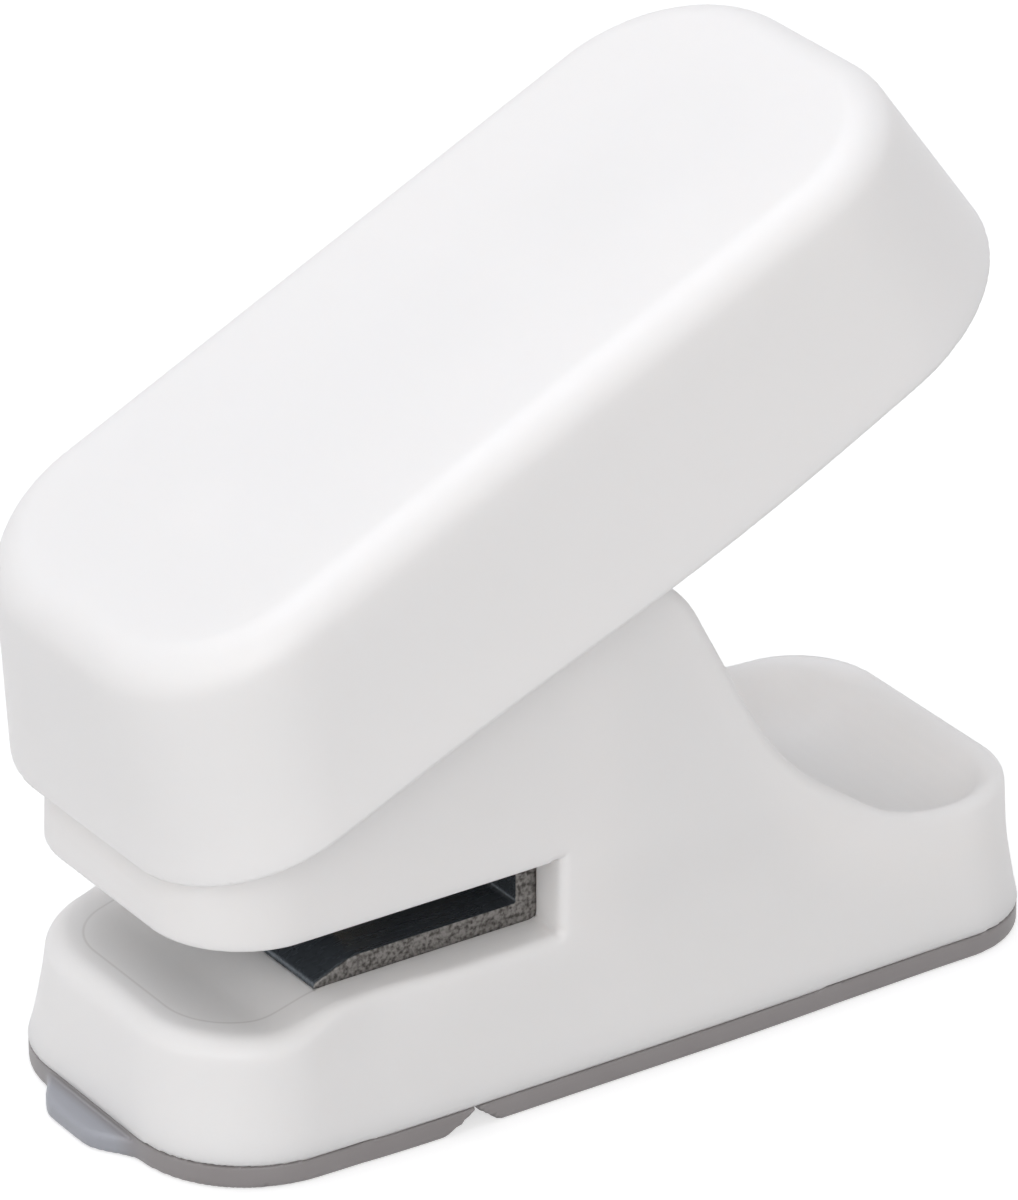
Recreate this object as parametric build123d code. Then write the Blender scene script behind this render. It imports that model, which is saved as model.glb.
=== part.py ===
from build123d import *
from math import sin, cos, tan, radians, sqrt, pi, hypot
import os

os.makedirs("parts", exist_ok=True)

# Single hole punch, millimetres. X runs from the paper mouth to the finger dish, Y across,
# Z up. The origin lies on the rest face under the middle of the base.

# Shared allowances
overrun = 3.0                 # how far a cutter runs past the face it opens
fixed_gap = 0.02              # radial gap of a pressed or clipped fit
running_gap = 0.05            # radial gap of a turning or sliding fit
flank_gap = 0.3               # side gap between plates that move past each other
wall = 2.0                    # moulded wall of the housing and the handle

# Base of the housing
base_length = 67.0
base_half_width = 14.4        # at the middle of the barrelled sides
base_end_half_width = 14.0    # where the sides meet the corners
base_front_radius = 8.5
base_rear_radius = 7.0
cover_thickness = 1.6         # the soft cover under the housing
flare_height = 5.2            # height at which the sides have drawn in by half
flare_front_draw = 0.5
flare_rear_draw = 0.3
flare_half_width = 13.2
flare_end_half_width = 13.2

# Lower jaw, which carries the die
jaw_top = 10.7
jaw_front_draw = 1.1          # how far its front lies behind the foot of the base
jaw_rear_draw = 0.75
jaw_nose_half_width = 12.5
jaw_waist_half_width = 12.3
jaw_tail_half_width = 12.7
jaw_front_radius = 8.0
jaw_rear_radius = 6.4
jaw_edge_radius = 1.3
waist_front_setback = 18.5    # the sides run straight between these two places
waist_rear_setback = 38.5

# Upper jaw and tower
throat_top = 16.2
throat_depth = 30.9
throat_front_setback = 1.5    # front of the upper jaw's nose
pocket_front_setback = 5.1
pocket_rear_setback = 30.5
pocket_half_width = 9.7
pocket_corner_radius = 3.0
upper_front_setback = 3.1     # flat front of the tower inside the handle
upper_half_width = 12.45
upper_tail_half_width = 12.3
upper_front_radius = 6.9
nose_shoulder_top = 21.7      # the nose slants out under the handle's rim
nose_shoulder_bottom = 19.5
nose_shoulder_setback = 1.2
tower_top = 34.4
tower_half_width = 11.4
tower_tail_half_width = 10.8
tower_front_setback = 1.7
tower_front_radius = 6.0      # side-view rounding over the jaw's front
tower_rear_radius = 12.0      # side-view rounding over the tower's rear
tower_slope = 63.4            # slope of the tower's rear face, degrees
sweep_radius = 20.0           # side-view sweep from the tower down to the dish rim
dish_rim_height = 11.1
dish_rim_length = 4.5         # level part of the rim, from the rear of the base

# Finger dish
dish_floor = 7.0
dish_front_radius = 11.0
dish_rear_radius = 5.5
dish_rim_width = 1.3
dish_well_length = 12.5       # full-width part of the well, from the rear of the base
dish_lead_share = 0.8
dish_throat_half_width = 7.0  # half width of the trough where it starts on the tower
dish_edge_radius = 3.0
dish_corner_radius = 4.6

# Steel C frame
steel = 1.6
steel_half_width = 6.5
steel_sink = 0.2              # how deep the lower leg lies in the jaw
steel_web_setback = 28.5
steel_front_setback = 13.0
lead_in_length = 5.4
lead_in_edge = 0.45
bend_radius = 0.5
upper_leg_bottom = 16.4
ear_rear_setback = 12.9
ear_eye_radius = 2.5

# Hinge of the handle
pivot_setback = 8.0
pivot_z = 29.4
hinge_pin_radius = 1.5
hinge_head_radius = 2.6
hinge_head_height = 1.1
clip_thickness = 0.6
hinge_groove_depth = 0.35
hinge_tip_length = 0.9
hinge_head_bevel = 0.4
hinge_tip_chamfer = 0.3
boss_radius = 3.4
hinge_seat = 10.6             # half width at which the head and the clip sit
hinge_seat_gap = 0.3          # round their sunk seats in the tower's walls

# Punch
lever_arm = 14.5              # from the hinge pin back to the punch
punch_radius = 3.0
press_angle = 24.0            # travel of the handle, degrees
punch_tip_lift = 0.25         # how far the tip stands above the throat at rest
punch_vee_depth = 1.3
hollow_radius = 1.9
hollow_depth = 5.0
punch_head_chamfer = 0.4
punch_head_rise = 1.9         # punch above its drive pin
drive_pin_radius = 1.0
drive_pin_stand_out = 0.6
washer_thickness = 0.6
washer_radius = 5.2
clip_drop = 3.3               # top of the retaining clip below the drive pin
punch_groove_depth = 0.8
clip_radius = 4.2
clip_relief_share = 0.45      # size of the reliefs beside its inner teeth
clip_mouth_share = 0.72       # mouth of a clip as a share of its bore

# Guide bush and return spring
bush_spigot_radius = 4.2
bush_flange_radius = 5.6
bush_flange = 0.8
bush_barrel_radius = 4.0
bush_top_gap = 0.35           # gap left between bush and washer at full press
spring_wire = 0.7
spring_turns = 4
spring_side_gap = 0.35
spring_end_gap = 0.03
spring_steps_per_turn = 2
spring_samples = 480

# Handle, set out on its sloping top face
handle_overhang = 1.7         # the handle reaches this far in front of the base
handle_front_z = 36.35
handle_slope = 25.35
handle_length = 62.7
handle_half_width = 14.6
handle_front_radius = 10.3
handle_rear_radius = 10.1
handle_edge_radius = 2.0
handle_depth = 15.4
handle_rim_bow = 0.5
handle_rim_spare_share = 0.1  # extra depth of the loft before the rim is trimmed
handle_inner_radius = 1.0
rim_front_step = 5.0          # the rim reaches this far past the top at the front
rim_rear_step = 3.4
rim_half_width = 16.2
rim_front_radius = 9.7
rim_rear_radius = 13.5
handle_wall = 1.9
handle_roof = 2.2

# Lever inside the handle
lever_plate = 1.2
lever_drop = 1.4              # height of the bosses that the lever sits on
lever_cheek_rear = 25.0
lever_length_share = 0.896    # the lever ends at this share of the handle
lever_plate_front = 6.2
lever_corner_radius = 2.0
lever_tail_half_width = 4.6
lever_eye_radius = 2.6
slot_eye_radius = 2.2
slot_gap = 0.1                # radial gap of the drive pin in its slot
screw_place_shares = (0.19, 0.6, 0.82)   # along the handle
screw_radius = 1.1
screw_head_radius = 2.1
screw_head = 1.1
screw_length = 2.5
screw_slot_width = 0.5
screw_head_bevel = 0.4
screw_slot_depth = 0.5
screw_boss_radius = 2.8
rib_thickness = 1.2
rib_depth = 3.2
rib_half_spacing = 8.4
rib_front_share = 0.535
rib_rear_share = 0.94
cross_ribs = 4
stop_rib_half_spacing = 2.4
stop_gap = 0.1
stop_rib_bottom = 22.6
stop_rib_top = 27.0

# Base cover and chip flap
lip_height = 2.0
lip_thickness = 1.2
lip_gap = 0.2
cover_inset = 0.1
hinge_line_setback = 20.1
hinge_web = 0.35
hinge_split = 0.2
flap_lip_setback = 15.0       # the lip of the flap ends here, clear of the hinge
groove_front_width = 2.3
groove_rear_width = 2.0
tab_half_width = 4.7
tab_reach = 1.8
tab_thickness = 1.3
tab_radius = 3.4
tab_round_share = 0.9
chamber_top = 8.7
chamber_depth = 31.3
chip_hole_radius = 3.9
witness_rise = 0.12           # faint step around the insert in the jaw
witness_setback = 2.6
witness_half_width = 10.8
witness_radius = 6.4

# Places that follow from the values above
base_front_x = -base_length / 2
base_rear_x = base_length / 2
waist_front_x = base_front_x + waist_front_setback
waist_rear_x = base_front_x + waist_rear_setback
throat_rear_x = base_front_x + throat_depth
pocket_front_x = base_front_x + pocket_front_setback
pocket_rear_x = base_front_x + pocket_rear_setback
throat_front_x = base_front_x + throat_front_setback
nose_shoulder_x = base_front_x + nose_shoulder_setback
upper_front_x = base_front_x + upper_front_setback
tower_front_x = base_front_x + tower_front_setback
dish_sweep_end_x = base_rear_x - dish_rim_length
dish_wide_x = base_rear_x - dish_well_length
steel_web_front_x = base_front_x + steel_web_setback
steel_front_x = base_front_x + steel_front_setback
ear_rear_x = base_front_x + ear_rear_setback
pivot_x = base_front_x + pivot_setback
punch_x = pivot_x + lever_arm
handle_front_x = base_front_x - handle_overhang
hinge_line_x = base_front_x + hinge_line_setback
flap_lip_rear_x = base_front_x + flap_lip_setback
chamber_rear_x = base_front_x + chamber_depth
witness_front_x = base_front_x + witness_setback
screw_places = [share * handle_length for share in screw_place_shares]
lever_rear = lever_length_share * handle_length
rib_front = rib_front_share * handle_length
rib_rear = rib_rear_share * handle_length
press_stroke = lever_arm * radians(press_angle)
drive_pin_z = pivot_z + press_stroke / 2
steel_bottom = jaw_top - steel_sink
steel_top = steel_bottom + steel
steel_web_rear_x = steel_web_front_x + steel
upper_leg_top = upper_leg_bottom + steel
upper_leg_front_x = pivot_x - ear_eye_radius
pocket_floor = throat_top + wall
clip_top = drive_pin_z - clip_drop
washer_top = clip_top - clip_thickness
washer_bottom = washer_top - washer_thickness
flange_top = upper_leg_top + bush_flange
bush_top = washer_bottom - press_stroke - bush_top_gap
ear_outer = steel_half_width
ear_inner = steel_half_width - steel
cheek_outer = ear_inner - flank_gap
cheek_inner = cheek_outer - lever_plate
punch_tip = throat_top + punch_tip_lift
punch_head_top = drive_pin_z + punch_head_rise
rear_cavity_front_x = chamber_rear_x + wall
rest_stop_x = upper_front_x - stop_gap
rise = radians(handle_slope)
slope = radians(tower_slope)
sweep_end_x = dish_sweep_end_x - sweep_radius * sin(slope)
sweep_end_z = dish_rim_height + sweep_radius * (1 - cos(slope))
lever_top = -handle_roof - lever_drop
lever_bottom = lever_top - lever_plate
hinge_axis_z = cover_thickness - hinge_web / 2

handle_plane = Plane(
    origin=(handle_front_x, 0, handle_front_z),
    x_dir=(cos(rise), 0, sin(rise)),
    z_dir=(-sin(rise), 0, cos(rise)),
)


def to_world(along, over):
    """Side-view place of a point given along the handle's top and over it."""
    return (handle_front_x + along * cos(rise) - over * sin(rise),
            handle_front_z + along * sin(rise) + over * cos(rise))


def slope_x(height, shift):
    """X of the tower's rear slope at a height, moved square to itself by shift."""
    return sweep_end_x - (height - sweep_end_z) / tan(slope) + shift / sin(slope)


def slab(low_x, high_x, low_z, high_z, half_width):
    """Block across the part between two X places and two heights."""
    centre = ((low_x + high_x) / 2, 0, (low_z + high_z) / 2)
    return Pos(*centre) * Box(high_x - low_x, 2 * half_width, high_z - low_z)


def upright(x, y, radius, low_z, high_z):
    """Upright round bar between two heights."""
    return Pos(x, y, (low_z + high_z) / 2) * Cylinder(radius, high_z - low_z)


def cross_bar(x, z, radius, low_y, high_y):
    """Round bar across the part between two Y places."""
    return Pos(x, (low_y + high_y) / 2, z) * Rot(90, 0, 0) * Cylinder(radius, high_y - low_y)


def across(face, low_y, high_y):
    """Body with a side-view face between two Y places."""
    return Pos(0, high_y, 0) * extrude(face, amount=high_y - low_y)


def side_face(points):
    """Side-view face through (x, z) places."""
    with BuildSketch(Plane.XZ) as sketch:
        with BuildLine():
            Polyline(*points, close=True)
        make_face()
    return sketch.sketch.face()


def both_sides(shape):
    """A shape and its mirror image on the other side of the middle plane."""
    return shape + mirror(shape, about=Plane.XZ)


def rounded_outline(plane, front_x, rear_x, half_width, front_radius, rear_radius):
    """Closed outline with two corner radii, the same edges in the same order every time."""
    with BuildSketch(plane) as sketch:
        with BuildLine():
            front_y = half_width - front_radius
            rear_y = half_width - rear_radius
            side_start = front_x + front_radius
            side_end = rear_x - rear_radius
            Line((front_x, front_y), (front_x, -front_y))
            CenterArc((side_start, -front_y), front_radius, 180, 90)
            Line((side_start, -half_width), (side_end, -half_width))
            CenterArc((side_end, -rear_y), rear_radius, 270, 90)
            Line((rear_x, -rear_y), (rear_x, rear_y))
            CenterArc((side_end, rear_y), rear_radius, 0, 90)
            Line((side_end, half_width), (side_start, half_width))
            CenterArc((side_start, front_y), front_radius, 90, 90)
        make_face()
    return sketch.sketch.face()


def waisted_outline(height, front_x, rear_x, nose, waist, tail, front_radius, rear_radius):
    """Horizontal outline of the housing: nose, waist and tail on one smooth side line."""
    with BuildSketch(Plane.XY.offset(height)) as sketch:
        with BuildLine():
            front_y = nose - front_radius
            rear_y = tail - rear_radius
            side_start = front_x + front_radius
            side_end = rear_x - rear_radius
            Line((front_x, front_y), (front_x, -front_y))
            CenterArc((side_start, -front_y), front_radius, 180, 90)
            near = [(side_start, -nose), (waist_front_x, -waist), (waist_rear_x, -waist),
                    (side_end, -tail)]
            Spline(*near, tangents=[(1, 0), (1, 0)])
            CenterArc((side_end, -rear_y), rear_radius, 270, 90)
            Line((rear_x, -rear_y), (rear_x, rear_y))
            CenterArc((side_end, rear_y), rear_radius, 0, 90)
            far = [(x, -y) for x, y in reversed(near)]
            Spline(*far, tangents=[(-1, 0), (-1, 0)])
            CenterArc((side_start, front_y), front_radius, 90, 90)
        make_face()
    return sketch.sketch.face()


def housing_sections(inset):
    """Outlines of the housing from its foot to the top of the tower, drawn in by inset."""
    rear = base_rear_x - jaw_rear_draw
    rows = (
        (cover_thickness, base_front_x, base_rear_x, base_end_half_width,
         base_half_width, base_end_half_width, base_front_radius, base_rear_radius),
        (flare_height, base_front_x + flare_front_draw, base_rear_x - flare_rear_draw,
         flare_end_half_width, flare_half_width, flare_end_half_width,
         base_front_radius, base_rear_radius),
        (jaw_top, base_front_x + jaw_front_draw, rear, jaw_nose_half_width, jaw_waist_half_width,
         jaw_tail_half_width, jaw_front_radius, jaw_rear_radius),
        (throat_top, throat_front_x, rear, upper_half_width, upper_half_width,
         upper_tail_half_width, upper_front_radius, jaw_rear_radius),
        (tower_top, tower_front_x, rear, tower_half_width, tower_half_width,
         tower_tail_half_width, upper_front_radius, jaw_rear_radius),
    )
    faces = []
    for height, front, back, nose, waist, tail, front_r, rear_r in rows:
        faces.append(waisted_outline(height, front + inset, back - inset, nose - inset,
                                     waist - inset, tail - inset, front_r - inset, rear_r - inset))
    return faces


def outer_form(inset):
    """Solid between the housing's side walls, drawn in by inset."""
    faces = housing_sections(inset)
    return loft(faces[:-1]) + loft(faces[-2:], ruled=True)


def side_profile():
    """Side view of the housing: foot, jaw front, tower, its rear slope and the dish rim."""
    half = slope / 2
    shoulder_z = tower_top - tower_rear_radius * (1 - cos(slope))
    shoulder_x = slope_x(shoulder_z, 0)
    crown_x = shoulder_x - tower_rear_radius * sin(slope)
    crown_z = tower_top - tower_rear_radius
    far_front = base_front_x - overrun
    far_rear = base_rear_x + overrun
    turn = tower_front_radius * (1 - cos(pi / 4))
    with BuildSketch(Plane.XZ) as sketch:
        with BuildLine():
            Line((far_front, cover_thickness), (far_rear, cover_thickness))
            Line((far_rear, cover_thickness), (far_rear, dish_rim_height))
            Line((far_rear, dish_rim_height), (dish_sweep_end_x, dish_rim_height))
            sweep_middle = (dish_sweep_end_x - sweep_radius * sin(half),
                            dish_rim_height + sweep_radius * (1 - cos(half)))
            ThreePointArc((dish_sweep_end_x, dish_rim_height), sweep_middle,
                          (sweep_end_x, sweep_end_z))
            Line((sweep_end_x, sweep_end_z), (shoulder_x, shoulder_z))
            crown_middle = (crown_x + tower_rear_radius * sin(half),
                            crown_z + tower_rear_radius * cos(half))
            ThreePointArc((shoulder_x, shoulder_z), crown_middle, (crown_x, tower_top))
            Line((crown_x, tower_top), (upper_front_x + tower_front_radius, tower_top))
            ThreePointArc((upper_front_x + tower_front_radius, tower_top),
                          (upper_front_x + turn, tower_top - turn),
                          (upper_front_x, tower_top - tower_front_radius))
            Polyline((upper_front_x, tower_top - tower_front_radius),
                     (upper_front_x, nose_shoulder_top), (nose_shoulder_x, nose_shoulder_bottom),
                     (far_front, nose_shoulder_bottom), (far_front, cover_thickness))
        make_face()
    return sketch.sketch.face()


def dish_cutter():
    """Scoop that follows the tower's rear slope down and hollows the rear block."""
    arc_top_z = dish_floor + dish_front_radius * (1 - cos(slope))
    arc_top_x = slope_x(arc_top_z, 0)
    bottom_x = arc_top_x + dish_front_radius * sin(slope)
    middle = (bottom_x - dish_front_radius * sin(slope / 2),
              dish_floor + dish_front_radius * (1 - cos(slope / 2)))
    rear_x = base_rear_x - jaw_rear_draw - dish_rim_width
    rear_low_x = rear_x - dish_rear_radius
    rear_middle = (rear_x - dish_rear_radius * (1 - sin(pi / 4)),
                   dish_floor + dish_rear_radius * (1 - cos(pi / 4)))
    above = tower_top + overrun
    with BuildSketch(Plane.XZ) as profile:
        with BuildLine():
            Line((slope_x(above, 0), above), (arc_top_x, arc_top_z))
            ThreePointArc((arc_top_x, arc_top_z), middle, (bottom_x, dish_floor))
            Line((bottom_x, dish_floor), (rear_low_x, dish_floor))
            ThreePointArc((rear_low_x, dish_floor), rear_middle,
                          (rear_x, dish_floor + dish_rear_radius))
            Line((rear_x, dish_floor + dish_rear_radius), (rear_x, above))
            Line((rear_x, above), (slope_x(above, 0), above))
        make_face()
    scoop = across(profile.sketch.face(), -base_half_width, base_half_width)
    half = jaw_tail_half_width - dish_rim_width
    turn_x = rear_x - dish_corner_radius
    start_x = slope_x(sweep_end_z, 0)
    with BuildSketch(Plane.XY) as plan:
        with BuildLine():
            near = [(start_x, -dish_throat_half_width), (dish_wide_x, -half)]
            far = [(x, -y) for x, y in reversed(near)]
            Line((slope_x(above, 0), -dish_throat_half_width), near[0])
            Spline(*near, tangents=[(1, -dish_lead_share), (1, 0)])
            Line(near[1], (turn_x, -half))
            CenterArc((turn_x, dish_corner_radius - half), dish_corner_radius, 270, 90)
            Line((rear_x, dish_corner_radius - half), (rear_x, half - dish_corner_radius))
            CenterArc((turn_x, half - dish_corner_radius), dish_corner_radius, 0, 90)
            Line((turn_x, half), far[0])
            Spline(*far, tangents=[(-1, 0), (-1, -dish_lead_share)])
            Line(far[1], (slope_x(above, 0), dish_throat_half_width))
            Line((slope_x(above, 0), dish_throat_half_width),
                 (slope_x(above, 0), -dish_throat_half_width))
        make_face()
    cutter = scoop & extrude(plan.sketch, amount=above)
    floor_edges = [e for e in cutter.edges()
                   if e.center().Z < dish_rim_height and e.bounding_box().size.Z < dish_front_radius
                   and abs(e.center().Y) > dish_corner_radius]
    return fillet(floor_edges, dish_edge_radius)


def tower_cavity():
    """Hollow under the dish and up inside the rear of the tower, open below."""
    low = dish_floor - wall
    front_radius = dish_front_radius + wall
    arc_top_z = dish_floor + dish_front_radius - front_radius * cos(slope)
    arc_top_x = slope_x(arc_top_z, -wall)
    bottom_x = arc_top_x + front_radius * sin(slope)
    middle = (bottom_x - front_radius * sin(slope / 2),
              dish_floor + dish_front_radius - front_radius * cos(slope / 2))
    inner_radius = tower_rear_radius - wall
    shoulder_z = tower_top - wall - inner_radius * (1 - cos(slope))
    shoulder_x = slope_x(shoulder_z, -wall)
    crown_x = shoulder_x - inner_radius * sin(slope)
    crown_middle = (crown_x + inner_radius * sin(slope / 2),
                    tower_top - tower_rear_radius + inner_radius * cos(slope / 2))
    below = cover_thickness
    with BuildSketch(Plane.XZ) as profile:
        with BuildLine():
            Line((crown_x, below), (crown_x, tower_top - wall))
            ThreePointArc((crown_x, tower_top - wall), crown_middle, (shoulder_x, shoulder_z))
            Line((shoulder_x, shoulder_z), (arc_top_x, arc_top_z))
            ThreePointArc((arc_top_x, arc_top_z), middle, (bottom_x, low))
            Line((bottom_x, low), (base_rear_x, low))
            Line((base_rear_x, low), (base_rear_x, below))
            Line((base_rear_x, below), (crown_x, below))
        make_face()
    hollow = across(profile.sketch.face(), -base_half_width, base_half_width)
    return hollow & slab(rear_cavity_front_x, base_rear_x, below, tower_top, base_half_width)


def hinge_bosses():
    """Bosses inside the tower's walls that carry the hinge pin beside the steel ears."""
    low = ear_outer + running_gap
    high = pocket_half_width + running_gap
    return both_sides(cross_bar(pivot_x, pivot_z, boss_radius, low, high))


def main_housing():
    """White moulded body: jaws, tower, finger dish and the hollow underside."""
    body = outer_form(0) & across(side_profile(), -base_half_width - overrun, base_half_width + overrun)
    front = slab(base_front_x - overrun, throat_rear_x, 0, throat_top, base_half_width + overrun)
    jaw = body & front & slab(base_front_x, throat_rear_x, 0, jaw_top, base_half_width + overrun)
    rim = jaw.edges().filter_by_position(Axis.Z, jaw_top, jaw_top).sort_by(Axis.X)[:-1]
    body = (body - front) + fillet(rim, jaw_edge_radius)
    body -= dish_cutter()
    inner = outer_form(wall)
    body -= inner & slab(base_front_x, chamber_rear_x, cover_thickness, chamber_top, base_half_width)
    body -= inner & tower_cavity()
    with BuildSketch(Plane.XY.offset(pocket_floor)) as pocket:
        with Locations(((pocket_front_x + pocket_rear_x) / 2, 0)):
            RectangleRounded(pocket_rear_x - pocket_front_x, 2 * pocket_half_width, pocket_corner_radius)
    body -= extrude(pocket.sketch, amount=tower_top)
    body += hinge_bosses()
    body -= both_sides(cross_bar(pivot_x, pivot_z, hinge_head_radius + hinge_seat_gap, hinge_seat,
                                 base_half_width))
    half = steel_half_width + running_gap
    body -= slab(upper_leg_front_x - running_gap, steel_web_rear_x + flank_gap, throat_top,
                 pocket_floor + overrun, half)
    body += witness_step()
    body -= slab(steel_front_x - running_gap, throat_rear_x, steel_bottom, throat_top, half)
    body -= upright(punch_x, 0, chip_hole_radius, chamber_top, steel_bottom)
    return body - cross_bar(pivot_x, pivot_z, hinge_pin_radius + fixed_gap, -base_half_width,
                            base_half_width)


def witness_step():
    """Faint raised panel on the lower jaw around the steel."""
    with BuildSketch(Plane.XY.offset(jaw_top)) as panel:
        with Locations(((witness_front_x + throat_rear_x + witness_radius) / 2, 0)):
            RectangleRounded(throat_rear_x + witness_radius - witness_front_x,
                             2 * witness_half_width, witness_radius)
    step = extrude(panel.sketch, amount=witness_rise)
    return step & slab(witness_front_x, throat_rear_x, jaw_top, jaw_top + witness_rise,
                       witness_half_width)


def steel_frame():
    """Steel strip bent round the throat, with two ears folded up for the hinge pin."""
    outer_bend = bend_radius + steel
    lower = slab(steel_front_x, steel_web_rear_x, steel_bottom, steel_top, steel_half_width)
    web = slab(steel_web_front_x, steel_web_rear_x, steel_bottom, upper_leg_top, steel_half_width)
    upper = slab(upper_leg_front_x, steel_web_rear_x, upper_leg_bottom, upper_leg_top,
                 steel_half_width)
    strip = lower + web + upper
    inside = strip.edges().filter_by(Axis.Y).filter_by_position(
        Axis.X, steel_web_front_x, steel_web_front_x)
    strip = fillet(inside, bend_radius)
    outside = strip.edges().filter_by(Axis.Y).filter_by_position(
        Axis.X, steel_web_rear_x, steel_web_rear_x)
    strip = fillet(outside, outer_bend)
    lead_in = side_face((
        (steel_front_x - overrun, steel_bottom + lead_in_edge),
        (steel_front_x, steel_bottom + lead_in_edge),
        (steel_front_x + lead_in_length, steel_top),
        (steel_front_x + lead_in_length, steel_top + overrun),
        (steel_front_x - overrun, steel_top + overrun),
    ))
    strip -= across(lead_in, -steel_half_width - overrun, steel_half_width + overrun)
    strip += both_sides(steel_ear())
    strip -= upright(punch_x, 0, punch_radius + running_gap, steel_bottom, steel_top)
    strip -= upright(punch_x, 0, bush_spigot_radius + fixed_gap, upper_leg_bottom, upper_leg_top)
    return strip - cross_bar(pivot_x, pivot_z, hinge_pin_radius + fixed_gap, -ear_outer, ear_outer)


def steel_ear():
    """One upright ear with its round eye for the hinge pin."""
    with BuildSketch(Plane.XZ) as sketch:
        with Locations((pivot_x, pivot_z)):
            Circle(ear_eye_radius)
        with BuildLine():
            Polyline((upper_leg_front_x, upper_leg_bottom), (ear_rear_x, upper_leg_bottom),
                     (ear_rear_x, upper_leg_top), (upper_leg_front_x, upper_leg_top), close=True)
        make_face()
        make_hull(mode=Mode.REPLACE)
    ear = across(sketch.sketch.face(), ear_inner, ear_outer)
    bend = ear.edges().filter_by(Axis.X).filter_by_position(Axis.Z, upper_leg_bottom, upper_leg_bottom)
    return fillet(bend.sort_by(Axis.Y)[-1], bend_radius)


def guide_bush():
    """Turned bush that guides the punch and carries the spring."""
    bush = upright(punch_x, 0, bush_spigot_radius, upper_leg_bottom, upper_leg_top)
    bush += upright(punch_x, 0, bush_flange_radius, upper_leg_top, flange_top)
    bush += upright(punch_x, 0, bush_barrel_radius, upper_leg_bottom, bush_top)
    return bush - upright(punch_x, 0, punch_radius + running_gap, upper_leg_bottom, bush_top)


def retaining_clip(bore, radius):
    """Open flat clip that snaps into a groove, its mouth towards the front."""
    with BuildSketch() as sketch:
        Circle(radius)
        Circle(bore, mode=Mode.SUBTRACT)
        with Locations((-radius, 0)):
            Rectangle(2 * radius, 2 * bore * clip_mouth_share, mode=Mode.SUBTRACT)
        with PolarLocations(bore, 2, start_angle=60, angular_range=240):
            Circle(bore * clip_relief_share, mode=Mode.SUBTRACT)
    return extrude(sketch.sketch, amount=clip_thickness)


def punch_pin():
    """Punch with a hollow V-shaped cutting end, a clip groove and a cross hole."""
    pin = upright(punch_x, 0, punch_radius, punch_tip, punch_head_top)
    top_edge = pin.edges().sort_by(Axis.Z)[-1]
    pin = chamfer(top_edge, punch_head_chamfer)
    pin -= upright(punch_x, 0, hollow_radius, punch_tip, punch_tip + hollow_depth)
    vee = side_face((
        (punch_x - punch_radius, punch_tip), (punch_x, punch_tip + punch_vee_depth),
        (punch_x + punch_radius, punch_tip), (punch_x, punch_tip - overrun),
    ))
    pin -= across(vee, -punch_radius, punch_radius)
    groove = upright(punch_x, 0, punch_radius, washer_top, clip_top)
    groove -= upright(punch_x, 0, punch_radius - punch_groove_depth, washer_top, clip_top)
    pin -= groove
    return pin - cross_bar(punch_x, drive_pin_z, drive_pin_radius + fixed_gap, -punch_radius,
                           punch_radius)


def drive_pin():
    """Cross pin through the punch head that runs in the lever's slots."""
    reach = cheek_outer + drive_pin_stand_out
    return cross_bar(punch_x, drive_pin_z, drive_pin_radius, -reach, reach)


def spring_washer():
    """Washer under the punch clip that the spring pushes up."""
    ring = upright(punch_x, 0, washer_radius, washer_bottom, washer_top)
    return ring - upright(punch_x, 0, punch_radius + running_gap, washer_bottom, washer_top)


def punch_clip():
    """Clip in the punch groove."""
    clip = retaining_clip(punch_radius - punch_groove_depth + fixed_gap, clip_radius)
    return Pos(punch_x, 0, washer_top) * clip


def hinge_pin():
    """Headed pin that the handle turns on."""
    tip = hinge_seat + clip_thickness + hinge_tip_length
    pin = cross_bar(pivot_x, pivot_z, hinge_pin_radius, -hinge_seat, tip)
    pin += cross_bar(pivot_x, pivot_z, hinge_head_radius, -hinge_seat - hinge_head_height, -hinge_seat)
    pin = chamfer(pin.edges().sort_by(Axis.Y)[0], hinge_head_bevel)
    end = pin.edges().sort_by(Axis.Y)[-1]
    pin = chamfer(end, hinge_tip_chamfer)
    low = hinge_seat
    high = hinge_seat + clip_thickness
    groove = cross_bar(pivot_x, pivot_z, hinge_pin_radius, low, high)
    return pin - (groove - cross_bar(pivot_x, pivot_z, hinge_pin_radius - hinge_groove_depth, low, high))


def hinge_clip():
    """Clip on the far end of the hinge pin."""
    clip = retaining_clip(hinge_pin_radius - hinge_groove_depth + fixed_gap, hinge_head_radius)
    return Pos(pivot_x, hinge_seat + clip_thickness, pivot_z) * Rot(90, 0, 0) * clip


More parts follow.
